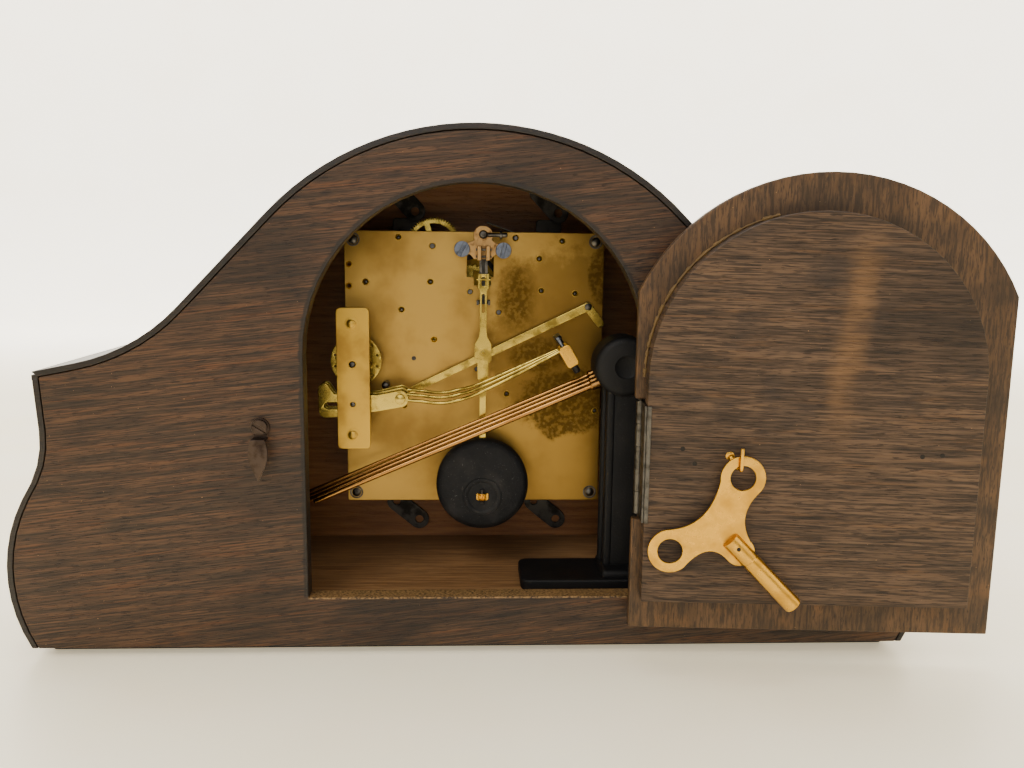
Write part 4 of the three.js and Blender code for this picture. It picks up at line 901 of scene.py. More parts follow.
@dataclass
class WindingKey:
    """The key: a flat plate with two rings, a slotted barrel, and the hook that it hangs on."""

    finishes: Finishes
    plane: float = 42.5
    thick: float = 1.3
    ring: float = 9.1
    bore: float = 5.1
    barrel_start: tuple = (35.6, 61.6)
    barrel_length: float = 39.2
    barrel_radius: float = 3.9
    barrel_angle: float = -45.5

    def outline(self) -> Array:
        """Returns the plate's edge: three lobes joined by hollow curves."""
        top = arc(39.8, 87.2, self.ring, 188, -35, 28)
        lobe = arc(39.9, 56.5, 6.1, 48, -140, 20)
        low = arc(11.6, 56.1, self.ring, -50, -258, 26)

        def hollow(start: Array, bend: tuple, end: Array) -> Array:
            """Returns a quadratic curve between two points, pulled to a third."""
            t = np.linspace(0, 1, 14)[1:-1, None]
            return (1 - t) ** 2 * start + 2 * t * (1 - t) * np.array(bend) + t**2 * end

        pieces = [top, hollow(top[-1], (37.5, 72.0), lobe[0]), lobe, hollow(lobe[-1], (27.0, 61.5), low[0]),
                  low, hollow(low[-1], (27.0, 66.0), top[0])]
        return np.vstack(pieces)

    def build(self) -> None:
        """Makes the key and its hook."""
        kit = self.finishes
        shift = np.array([HINGE[0], 0.0])
        y0, y1 = self.plane - self.thick / 2, self.plane + self.thick / 2
        rings = [circle(39.8, 87.2, self.bore) + shift, circle(11.6, 56.1, self.bore) + shift]
        blade = plate(self.outline() + shift, rings, y0, y1, 0.3)
        piece("key_stamped_plate", blade.moved(OPENED), kit.key_brass, Body.KEY, "bright_brass", "key_plate")
        piece("key_turned_barrel", self.barrel().moved(OPENED), kit.key_brass, Body.KEY, "bright_brass", "key_barrel")
        # dark discs in the barrel's pin hole: painted shade for the hole's dark inside
        piece("key_barrel_pin_hole_shade", self.pin_ends().moved(OPENED), kit.leather, Body.KEY, "bright_brass")
        piece("key_screw_hook", self.hook().moved(OPENED), kit.key_brass, Body.DOOR, "bright_brass", "key_hook")

    def barrel(self) -> Shell:
        """Returns the barrel: rings along its axis, round outside and square in the bore."""
        r, length = self.barrel_radius, self.barrel_length
        profile = np.array([
            (0, 0.2, 0), (r - 0.5, 0.0, 0), (r - 0.1, 0.15, 0), (r, 0.5, 0), (r, 11.6, 0), (r - 0.35, 12.1, 0),
            (r - 0.35, 12.5, 0), (r - 0.15, 13.0, 0), (r - 0.15, length - 0.6, 0), (r - 0.35, length - 0.15, 0),
            (r - 0.7, length, 0), (2.35, length, 0), (2.1, length - 0.2, 1), (2.1, length - 10, 1),
            (0, length - 10, 1),
        ])
        angle = (np.arange(40) + 0.5) * TAU / 40
        round_one = np.ones_like(angle)
        square = 0.88 / np.maximum(np.abs(np.cos(angle)), np.abs(np.sin(angle)))
        share = profile[:, 2][:, None]
        radius = profile[:, 0][:, None] * (round_one * (1 - share) + square * share)
        along = np.repeat(profile[:, 1][:, None], 40, axis=1)
        body = net(np.stack([along, radius * np.cos(angle), radius * np.sin(angle)], axis=-1))
        return body.moved(self.laid())

    def pin_ends(self) -> Shell:
        """Returns two dark discs, a little sunk, on either side of the barrel where its cross-pin hole is: painted
        shade standing for the dark inside of the hole.
        """
        r = self.barrel_radius
        disc = [(0.85, -0.3), (0.85, 0.0), (0.7, 0.05), (0, 0.05)]
        ends = [turned([(h, v * side) for h, v in disc], (4.4, side * r, 0), "Y", 18) for side in (-1, 1)]
        return joined(*ends).moved(self.laid())

    def laid(self) -> Array:
        """Returns the transform that lays the barrel along its slanting axis."""
        return np.array(
            Matrix.Translation((HINGE[0] + self.barrel_start[0], self.plane, self.barrel_start[1]))
            @ Matrix.Rotation(math.radians(-self.barrel_angle), 4, "Y")
        )

    def hook(self) -> Shell:
        """Returns the screw hook: a thread end, a shoulder, and wire bent under the ring and up."""
        face = 46.4
        points = [(35.0, face + 1, 95.3), (35.1, face - 1.2, 95.1), (35.8, face - 2.0, 93.4),
                  (37.4, face - 1.9, 91.0),
                  (38.4, self.plane + 1.1, 90.6), (38.6, self.plane, 90.5), (38.6, self.plane - 1.5, 90.7),
                  (38.5, self.plane - 2.3, 92.3), (38.5, self.plane - 2.4, 96.0), (38.5, self.plane - 2.4, 99.6)]
        path = smooth_path(points, 60) + np.array([HINGE[0], 0, 0])
        collar = turned([(0, 0.2), (1.7, 0.2), (1.8, -0.3), (1.3, -0.8), (0, -0.9)],
                        (HINGE[0] + 35.0, face, 95.3), "Y", 20)
        return joined(tube(path, 0.75, 14, (0.3, 0.2, 0.93)), collar)


@dataclass
class TurnButton:
    """The stamped button beside the door hole, hanging from its screw."""

    finishes: Finishes
    centre: tuple = (91.0, 102.3)
    foot: float = 55.8
    leaf: float = 61.6

    def build(self) -> None:
        """Makes the button and its screw."""
        kit = self.finishes
        x, z = self.centre
        disc = plate(circle(x, z, 3.9), [circle(x, z, 1.7)], self.foot, self.foot + 1.0, 0.25)
        neck = block((x - 2.8, self.foot + 0.1, z - 5.2), (x + 2.8, self.foot + 1.0, z - 3.0))
        rise = block((x - 3.0, self.foot + 0.1, z - 5.4), (x + 3.0, self.leaf + 0.9, z - 4.4))
        button = joined(disc, neck, rise, self.blade())
        piece("turn_button_stamping", button, kit.bronzed, Body.CATCH, "dark_steel", "turn_button")
        head = self.foot + 1.3
        piece("turn_button_slotted_screw", slotted_screw((x, head, z), 3.3, 1.3, -32), kit.bronzed, Body.CASE,
              "dark_steel", "turn_button_screw")

    def blade(self) -> Shell:
        """Returns the leaf: width bulges then tapers to a point, and the face is crowned across."""
        t = np.linspace(0, 1, 26)[:, None]
        s = np.linspace(-1, 1, 15)[None, :]
        half = 3.0 * (1 - t**2.2) ** 0.9 * (1 + 0.55 * np.sin(3.0 * t)) + 0.03
        x = self.centre[0] + half * s
        z = self.centre[1] - 4.6 - 17.4 * t + 0 * s
        crown = self.leaf + 0.7 + 0.35 * (1 - s**2) * (1 - 0.6 * t)
        rim = self.leaf + 0 * s * t
        over = np.stack([x, crown, z], axis=-1)
        under = np.stack([x, rim, z], axis=-1)
        ring = np.concatenate([over, under[:, ::-1]], axis=1)
        ends = np.repeat(ring.mean(axis=1, keepdims=True)[[0, -1]], ring.shape[1], axis=1)
        return net(np.concatenate([ends[:1], ring, ends[1:]]))


def slotted_screw(place: tuple, radius: float, height: float, tilt: float) -> Shell:
    """Makes a cheese-head screw facing the back, with a slot cut in its head.

    Args:
        place: middle of the head's underside.
        radius: of the head.
        height: of the head.
        tilt: the slot's angle in degrees.

    Returns:
        The surface.
    """
    x, y, z = place
    base = turned([(0, -0.6), (radius - 0.1, -0.6), (radius, 0), (radius, height * 0.4), (0, height * 0.4)],
                  place, "Y", 36)
    half = arc(x, z, radius, 12, 168, 22)
    upper = plate(half, [], y + height * 0.35, y + height, 0.22)
    lower = plate(arc(x, z, radius, 192, 348, 22), [], y + height * 0.35, y + height, 0.22)
    return joined(base, upper, lower).moved(turn_about(place, math.radians(tilt)))


@dataclass
class Gong:
    """Four bronze rods and the black casting that holds them."""

    finishes: Finishes
    start: tuple = (-53.2, 117.3)
    slope: float = math.atan(0.4287)
    lengths: tuple = (150.0, 147.0, 143.0, 139.0)
    boss: tuple = (-67.6, 124.5, 14.0)
    fan: float = 1.15  # how much higher each rod sits than the next one out

    def build(self) -> None:
        """Makes the rods and the stand."""
        kit = self.finishes
        for index, length in enumerate(self.lengths):
            along = np.linspace(0, length, 12)[:, None]
            way = np.array([math.cos(self.slope), 0, -math.sin(self.slope)])
            rise = self.fan * (1.5 - index)
            begin = np.array([self.start[0], PENDULUM_Y + 4.5 + 4 * index, self.start[1] + rise])
            radius = (0.85, 0.85, 1.2, 1.2)[index]
            rod = tube(begin + along * way, radius, 20)
            seat = turned([(0, -3), (1.9, -3), (2.1, 0.6), (1.5, 1.4), (0, 1.4)], (0, 0, 0), "X", 20)
            spin = np.array(Matrix.Translation(begin) @ Matrix.Rotation(self.slope, 4, "Y"))
            number = str(4 - index)
            piece("gong_rod_drawn_" + number, joined(rod, seat.moved(spin)), kit.gong_bronze, Body.CASE, "copper",
                  "gong_rod_" + number)
        piece("gong_stand_casting", self.stand(), kit.black_paint, Body.CASE, "black_iron", "gong_stand", sharp=50)

    def stand(self) -> Shell:
        """Returns the casting: a round boss on a ribbed column, on a flat foot."""
        x, z, r = self.boss
        y0, y1 = 9.5, 29.5
        boss = turned([(0, y0), (r - 3, y0), (r - 0.8, y0 + 0.7), (r, y0 + 3), (r, y1 - 3), (r - 0.9, y1 - 0.8),
                       (r - 3.2, y1), (5.2, y1 + 0.1), (4.6, y1 - 0.6), (0, y1 - 0.8)], (x, 0, z), "Y", 48)
        column = block((-77.5, 10.6, 26), (-61.5, 27.4, z - 4), 2.2)
        rib = block((-66, 14.4, 26), (-58.4, 19.0, z - 8), 1.6)
        outer = block((-63.5, 22.0, 26), (-59.6, 27.8, z - 9), 1.2)
        foot = rounded(-82, -20.5, 9.5, 39.5, 4.5)
        flat = plate(foot, [], 0, 5.2, 0.8)
        flat.points = flat.points[:, [0, 2, 1]] + np.array([0, 0, 22.3])
        toe = block((-80, 11, 24.5), (-58, 36, 30.5), 2.0)
        return joined(boss, column, rib, outer, flat, toe)


@dataclass
class MovementFrame:
    """Plates, brackets, cock and hammer bridge, with their pivots and screws."""

    finishes: Finishes
    pivots: tuple = (
        (-14.6, 106.9), (0.0, 119.0), (-10.4, 146.7), (3.5, 156.5), (43.8, 111.5), (36.3, 147.7), (21.5, 178.0),
        (-18.1, 182.2), (37.5, 182.0), (-40.4, 181.0), (-29.6, 172.5), (61.0, 169.1), (61.2, 158.8), (53.2, 160.8),
        (22.5, 161.1), (-30.8, 157.3), (-47.2, 156.1), (20.7, 133.4), (35.3, 101.0), (-58.2, 98.6),
    )
    empty: tuple = (4, 11, 12, 17, 18)  # holes with nothing in them
    plate_box: tuple = (-60.8, 63.2, 53.2, 185.0)
    window: tuple = ((-7.7, 175.4), (5.0, 175.4), (5.0, 163.6), (1.6, 163.6), (1.6, 159.6), (-6.4, 159.6),
                     (-6.4, 163.6), (-7.7, 163.6))

    def build(self) -> None:
        """Makes the frame's pieces."""
        kit = self.finishes
        x0, x1, z0, z1 = self.plate_box
        y0, y1 = BACK_PLATE_Y - 1.8, BACK_PLATE_Y
        holes = [circle(x, z, 1.55, 20) for x, z in self.pivots] + [np.array(self.window)]
        holes += [circle(57.3, 123.9, 1.4, 16), circle(57.3, 105.3, 1.2, 16)]
        back = plate(rounded(x0, x1, z0, z1, 0.8), holes, y0, y1, 0.25)
        piece("back_plate_rolled", back, kit.plate_brass, Body.CASE, "plate_brass", "back_plate")
        refined("front_plate", kit.sheet_brass, Body.CASE, 0.2)
        piece("oil_sinks", self.sinks(), kit.sheet_brass, Body.CASE, "plate_brass")
        piece("pivot_ends", self.pivot_ends(), kit.steel, Body.CASE, "steel")
        piece("pillar_ends", self.pillar_ends(), kit.steel, Body.CASE, "plate_brass")
        self.brackets()
        self.cock()
        self.bridge()

    def sinks(self) -> Shell:
        """Returns the bushes: a ring pressed in each hole, hollowed like a saucer."""
        bowl = [(1.62, -0.35), (1.6, 0.02), (1.42, 0.05), (1.2, -0.25), (0.85, -0.55), (0.8, -1.2), (1.62, -1.2),
                (1.62, -0.35)]
        return joined(*(turned(bowl, (x, BACK_PLATE_Y, z), "Y", 20) for x, z in self.pivots))

    def pivot_ends(self) -> Shell:
        """Returns the polished ends of the arbors in their bushes."""
        tip = [(0, -1.1), (0.72, -1.1), (0.72, -0.3), (0.5, -0.08), (0, 0.0)]
        return joined(*(turned(tip, (x, BACK_PLATE_Y, z), "Y", 14)
                        for i, (x, z) in enumerate(self.pivots) if i not in self.empty))

    def pillar_ends(self) -> Shell:
        """Returns the four pillars' riveted ends: a ring with a dome in it."""
        x0, x1, z0, z1 = self.plate_box
        end = [(0, -0.2), (3.3, -0.2), (3.3, 0.05), (2.6, 0.12), (2.3, -0.05), (1.9, 0.3), (1.2, 0.75), (0, 0.95)]
        inset = 4.2
        places = [(x, z) for x in (x0 + inset, x1 - inset) for z in (z0 + inset, z1 - inset)]
        return joined(*(turned(end, (x, BACK_PLATE_Y, z), "Y", 28) for x, z in places))

    def brackets(self) -> None:
        """Makes the two steel straps that hold the movement, with a lobe and two holes at each end."""
        for side, name in ((-1, "left"), (1, "right")):
            x = 37.0 * side
            y0, y1 = -42.2, -40.4
            holes = [circle(x + 5.0, 206.0, 2.0, 16), circle(x - 5.0, 195.5, 2.2, 16), circle(x + 5.5, 41.4, 2.0, 16),
                     circle(x - 6.5, 31.5, 2.2, 16)]
            bar = plate(rounded(x - 6.5, x + 6.5, 44, 192, 2.0), [circle(35.3 * side, 86, 4.0)], y0, y1, 0.25)
            upper = plate(capsule(x - 5.0, 195.5, x + 5.0, 206.0, 5.2), holes[:2], y0 + 0.1, y1 + 0.3, 0.3)
            lower = plate(capsule(x - 6.5, 31.5, x + 5.5, 41.4, 5.2), holes[2:], y0 + 0.1, y1 + 0.3, 0.3)
            piece("bracket_" + name, joined(bar, upper, lower), self.finishes.old_steel, Body.CASE, "steel",
                  "mounting_strap_" + name)

    def cock(self) -> None:
        """Makes the suspension cock with its two screws and the regulating screw beside it."""
        top = BACK_PLATE_Y + 8.0
        dome = arc(-2.6, 183.2, 4.6, -28, 208, 24)
        wings = np.array([(-8.6, 179.6), (-14.6, 179.2), (-15.2, 177.6), (-14.9, 174.4), (-13.6, 173.6),
                          (-8.2, 174.4),
                          (-6.3, 172.2), (1.6, 172.2), (3.6, 174.4), (9.4, 174.0), (10.5, 175.6), (10.3, 178.8),
                          (8.8, 179.8), (3.9, 179.9)])
        lug = plate(np.vstack([dome, wings]), [circle(-2.6, 183.6, 1.5, 18)], top - 1.5, top, 0.3)
        feet = [turned([(0, BACK_PLATE_Y), (2.8, BACK_PLATE_Y), (2.5, top - 1.4), (0, top - 1.3)], (x, 0, z), "Y", 24)
                for x, z in ((7.3, 176.8), (-12.1, 176.3))]
        jaws = [block((x, top - 1.2, 171.6), (x + 2.1, PENDULUM_Y + 1.8, 178.4), 0.4) for x in (-5.9, -1.8)]
        body = joined(lug, *feet, *jaws)
        piece("cock_casting", body, self.finishes.cast_brass, Body.CASE, "copper", "suspension_cock")
        bolt = turned([(0, 0), (1.0, 0), (1.0, 5.6), (1.9, 5.7), (1.9, 6.6), (1.1, 6.8), (1.1, 9.0), (0.6, 9.3),
                       (0, 9.3)],
                      (0, 0, 0), "X", 20)
        aside = np.array(Matrix.Translation((-4.6, top + 0.6, 183.4)) @ Matrix.Rotation(math.pi, 4, "Z"))
        eye = turned([(0, top - 0.2), (1.9, top - 0.2), (2.0, top + 0.5), (1.4, top + 1.2), (0, top + 1.4)],
                     (-2.6, 0, 183.6), "Y", 24)
        piece("regulating_screw", joined(bolt.moved(aside), eye), self.finishes.steel, Body.CASE, "steel")
        screws = [slotted_screw((x, top - 0.2, z), 3.7, 1.9, tilt)
                  for x, z, tilt in ((7.3, 176.8, 62), (-12.1, 176.3, 75))]
        piece("cock_screws", joined(*screws), self.finishes.blue_steel, Body.CASE, "steel")
        pin = [turned([(0, 0), (0.55, 0), (0.55, 7.4), (0, 7.4)], (-6.5, PENDULUM_Y + 0.2, z), "X", 14)
               for z in (176.6, 173.4)]
        piece("suspension_pins", joined(*pin), self.finishes.steel, Body.CASE, "steel")

    def bridge(self) -> None:
        """Makes the hammer bridge with its posts, rivet heads and pivots."""
        outer = BACK_PLATE_Y + 11 + 8 + 3.2
        strap = plate(rounded(49.3, 64.4, 84.3, 150.0, 2.2),
                      [circle(57.3, 123.9, 1.5, 20), circle(57.3, 105.3, 1.15, 20)],
                      outer - 1.6, outer, 0.3)
        posts = []
        for z in (91.0, 142.6):
            posts.append(turned([(0, BACK_PLATE_Y), (3.0, BACK_PLATE_Y), (3.0, outer - 1.5), (0, outer - 1.4)],
                                (57.3, 0, z), "Y", 28))
            posts.append(turned([(0, -0.1), (3.5, -0.1), (3.45, 0.06), (2.7, 0.1), (2.6, -0.02), (2.0, 0.1),
                                 (1.9, 0.95),
                                 (1.4, 1.3), (0, 1.4)], (57.3, outer, z), "Y", 32))
        piece("bridge_strap", joined(strap, *posts), self.finishes.sheet_brass, Body.CASE, "plate_brass",
              "hammer_bridge")
        rod = turned([(0, BACK_PLATE_Y - 1), (1.05, BACK_PLATE_Y - 1), (1.05, outer - 0.4), (0.7, outer - 0.1),
                      (0, outer)], (57.3, 0, 105.3), "Y", 18)
        stub = turned([(0, BACK_PLATE_Y), (1.9, BACK_PLATE_Y), (1.9, 2.6), (1.5, 3.2), (0.6, 3.5), (0, 3.5)],
                      (43.8, 0, 111.5), "Y", 24)
        piece("hammer_arbor", rod, self.finishes.steel, Body.CASE, "steel")
        piece("stop_post", stub, self.finishes.steel, Body.CASE, "steel")


@dataclass
class HammerWork:
    """Star wheel, three hammers and the silencing lever."""

    finishes: Finishes
    pivot: tuple = (57.3, 105.3)
    boss: tuple = (35.7, 108.1)

    def build(self) -> None:
        """Makes the striking work outside the back plate."""
        kit = self.finishes
        self.star()
        for index in range(3):
            self.hammer(index)
        leaf_y = BACK_PLATE_Y + 2.0
        bar = plate(capsule(-53.2, 150.0, 31.5, 108.9, 2.0, 1.6), [circle(-53.2, 150.0, 0.9, 14)], leaf_y,
                    leaf_y + 1.0, 0.2)
        piece("silence_bar", bar, kit.bright_brass, Body.SILENCE_LEVER, "plate_brass", "silence_lever")
        arm = plate(capsule(-59.5, 141.8, -53.2, 150.0, 1.9, 2.1), [], leaf_y - 1.4, leaf_y - 0.4, 0.2)
        pin = turned([(0, -1.6), (1.2, -1.6), (1.2, 1.2), (1.7, 1.3), (1.7, 1.9), (1.2, 2.2), (0, 2.3)],
                     (-53.2, leaf_y, 150.0), "Y", 20)
        piece("silence_arm", arm, kit.bright_brass, Body.SILENCE_ROCKER, "plate_brass", "silence_rocker")
        piece("silence_pin", pin, kit.steel, Body.SILENCE_ROCKER, "steel")

    def star(self) -> None:
        """Makes the lifting disc with its drilled rim, lifting pins and arbor."""
        x, z = 57.3, 123.9
        y = BACK_PLATE_Y + 7
        angle = (np.arange(12) + 0.5) * TAU / 12
        holes = [circle(x + 10.2 * math.cos(a), z + 10.2 * math.sin(a), 0.55, 10) for a in angle]
        disc = plate(circle(x, z, 12.0, 72), holes, y, y + 1.1, 0.2)
        pins = [turned([(0, y), (0.6, y), (0.6, 14.0), (0.4, 14.3), (0, 14.4)],
                       (x + 8.2 * math.cos(a), 0, z + 8.2 * math.sin(a)), "Y", 10) for a in angle[::2]]
        arbor = turned([(0, -37.8), (1.15, -37.8), (1.15, 19.9), (0.7, 20.2), (0, 20.3)], (x, 0, z), "Y", 18)
        hub = turned([(0, y - 1.4), (2.6, y - 1.4), (2.6, y + 3), (1.2, y + 3.1), (0, y + 3.1)], (x, 0, z), "Y", 24)
        piece("lifting_disc", joined(disc, hub, *pins), self.finishes.bright_brass, Body.STAR, "plate_brass",
              "star_wheel")
        piece("lifting_arbor", arbor, self.finishes.steel, Body.STAR, "plate_brass")

    def hammer(self, index: int) -> None:
        """Makes one hammer; the first lies next to the pendulum.

        Args:
            index: which of the three, from the pendulum outwards.
        """
        kit = self.finishes
        number = str(3 - index)
        body = "hammer_" + number
        y = BACK_PLATE_Y + 11 + 4 * index
        rod_y = PENDULUM_Y + 4.5 + 4 * index
        px, pz = self.pivot
        bx, bz = self.boss
        spread = (2.2, 0.6, -1.4)[index]
        bz += 0.45 * spread
        arm = np.vstack([arc(bx, bz, 3.9, 95, 265, 16), [(46.5, 102.0 + 0.3 * spread)], [(53.5, 100.9)],
                         arc(px, pz, 4.6, 265, 275, 3), [(66.0, 98.8)], arc(70.3, 101.6, 3.0, 268, 358, 8),
                         arc(70.9, 112.0, 2.6, 0, 150, 10), [(66.2, 109.6)], [(61.6, 109.5)],
                         arc(px, pz, 4.6, 85, 100, 3),
                         [(46.5, 109.6 + 0.3 * spread)]])
        slot = capsule(65.2, 104.2, 69.4, 104.2, 1.6)
        body_plate = plate(arm, [slot, circle(px, pz, 1.1, 16)], y - 0.6, y + 0.6, 0.22)
        rivet = turned([(0, y - 1.5), (1.9, y - 1.5), (1.9, y + 0.9), (2.4, y + 1.0), (2.2, y + 1.5), (1.2, y + 1.8),
                        (0, y + 1.9)], (bx, 0, bz), "Y", 24)
        middle = (y + rod_y) / 2
        wire_path = smooth_path([(bx, y, bz), (31.6, y, 108.3 + spread), (26.0, y, 107.8 + spread),
                                 (17.0, middle, 107.4 + spread), (8.0, middle, 109.0 + spread),
                                 (-1.3, rod_y, 112.6 + 0.8 * spread), (-19.6, rod_y, 121.4 + 0.5 * spread),
                                 (-38.4, rod_y, 131.0)], 70)
        lever = joined(body_plate, rivet, tube(wire_path, 0.8, 14))
        piece("hammer_wire_lever_" + number, lever, kit.bright_brass, body, "bright_brass", "hammer_lever_" + number)
        self.head(number, body, rod_y)

    def head(self, number: str, body: str, y: float) -> None:
        """Makes a hammer's head: a chamfered block, its leather tip and its clamping screw."""
        kit = self.finishes
        where = np.array(Matrix.Translation((-42.2, y, 128.4)) @ Matrix.Rotation(math.radians(31), 4, "Y"))
        outline = np.array([(-2.9, 4.4), (-1.9, 5.5), (1.9, 5.5), (2.9, 4.4), (2.9, -3.8), (2.0, -4.9), (-2.0, -4.9),
                            (-2.9, -3.8)])
        core = plate(outline, [], -1.6, 1.6, 0.35)
        piece("hammer_block_" + number, core.moved(where), kit.key_brass, body, "bright_brass",
              "hammer_head_" + number)
        tip = turned([(0, -4.6), (1.55, -4.6), (1.6, -7.7), (1.2, -8.4), (0, -8.6)], (0, 0, 0), "Z", 20)
        piece("hammer_tip_" + number, tip.moved(where), kit.leather, body, "bright_brass")
        screw = turned([(0, 5.0), (0.8, 5.0), (0.8, 6.9), (1.3, 7.1), (1.3, 9.2), (1.6, 9.4), (1.6, 10.6),
                        (1.2, 10.9),
                        (0, 10.9)], (0, 0, 0), "Z", 20)
        piece("hammer_screw_" + number, screw.moved(where), kit.blue_steel, body, "bright_brass")


@dataclass
class Pendulum:
    """Suspension spring, slotted rod, crutch, black bob and rating nut."""

    finishes: Finishes
    x: float = -2.8
    bob: tuple = (65.3, 22.0)
    nut_z: float = 60.1

    def build(self) -> None:
        """Makes the pendulum."""
        kit = self.finishes
        spring = [block((self.x + a, PENDULUM_Y - 0.12, 164.8), (self.x + b, PENDULUM_Y + 0.12, 172.3), 0.08)
                  for a, b in ((-1.9, -0.7), (0.7, 1.9))]
        piece("suspension_strips", joined(*spring), kit.steel, Body.PENDULUM, "steel", "suspension_spring")
        piece("pendulum_strip", self.rod(), kit.bright_brass, Body.PENDULUM, "plate_brass", "pendulum_rod")
        piece("pendulum_disc", self.disc(), kit.bob_paint, Body.PENDULUM, "black_iron", "pendulum_bob", sharp=45)
        self.nut()
        refined("anchor", kit.old_steel, Body.ESCAPEMENT, 0.15)

    def rod(self) -> Shell:
        """Returns the rod: a slotted block, a strip that widens to a leaf, and a thin lower strip."""
        y0, y1 = PENDULUM_Y - 0.45, PENDULUM_Y + 0.45
        widths = [(2.5, 165.4), (2.5, 159.2), (1.7, 157.6), (1.55, 139.4), (2.0, 136.0), (3.9, 132.6), (4.1, 125.0),
                  (2.6, 123.4), (2.5, 116.0), (1.5, 115.0), (1.5, 86.5)]
        right = np.array([(self.x + w, z) for w, z in widths])
        left = np.array([(self.x - w, z) for w, z in widths])[::-1]
        slots = [rounded(self.x - 0.8, self.x + 0.8, 159.8, 164.0, 0.5), capsule(self.x, 148.0, self.x, 155.5, 0.7),
                 circle(self.x, 128.6, 1.0, 18)]
        strip = plate(np.vstack([right, left]), slots, y0, y1, 0.12)
        cheeks = [block((self.x + a, y0 - 1.0, 158.6), (self.x + b, y1 + 1.1, 165.6), 0.3) for a,
                  b in ((-2.7, -1.1), (1.1, 2.7))]
        cross = turned([(0, -3.2), (0.55, -3.2), (0.55, 3.2), (0, 3.2)], (self.x, PENDULUM_Y + 1.0, 162.9), "X", 14)
        stud = turned([(0, y1 - 0.3), (0.95, y1 - 0.3), (0.9, y1 + 0.5), (0, y1 + 0.7)], (self.x, 0, 128.6), "Y", 16)
        return joined(strip, *cheeks, cross, stud)

    def disc(self) -> Shell:
        """Returns the bob: a thick disc, crowned, with a stepped round recess for the nut."""
        z, r = self.bob
        face = PENDULUM_Y + 6.0
        body = [(0, face - 12), (r - 4.5, face - 12), (r - 1.4, face - 10.4), (r, face - 8), (r, face - 3.4),
                (r - 1.0, face - 1.6), (r - 3.2, face - 0.6), (r - 9, face - 0.1), (0, face + 0.1)]
        solid = turned(body, (self.x, 0, z), "Y", 72)
        lip = [(9.2, face - 0.2), (8.9, face + 0.55), (7.6, face + 0.7), (6.9, face + 0.2), (6.6, face - 0.1),
               (9.2, face - 0.2)]
        return joined(solid, turned(lip, (self.x, 0, self.nut_z), "Y", 48))

    def nut(self) -> None:
        """Makes the knurled rating nut and the screw that it runs on."""
        columns = 96
        angle = np.arange(columns) * TAU / columns
        radius = 2.75 + 0.16 * np.sign(np.sin(angle * 24))
        rings = np.array([(0.0, -1.6), (0.9, -1.6), (1.0, -1.2), (1.0, 1.2), (0.9, 1.6), (0.0, 1.6)])
        across = rings[:, :1] * radius
        y = PENDULUM_Y + 6.0 - 0.4
        points = np.stack([self.x + across * np.cos(angle), y + across * np.sin(angle),
                           self.nut_z + np.repeat(rings[:, 1:], columns, axis=1)], axis=-1)
        piece("rating_nut_knurled", net(points), self.finishes.key_brass, Body.REGULATOR, "bright_brass",
              "rating_nut")
        turns = np.linspace(-3.4, 3.4, 49)
        thread = [(0, -3.4), *((0.75 + 0.12 * math.sin(t * 12), float(t)) for t in turns), (0, 3.4)]
        stem = turned(thread, (self.x, y + 1.0, self.nut_z), "Z", 16)
        piece("rating_screw", stem, self.finishes.steel, Body.PENDULUM, "plate_brass")


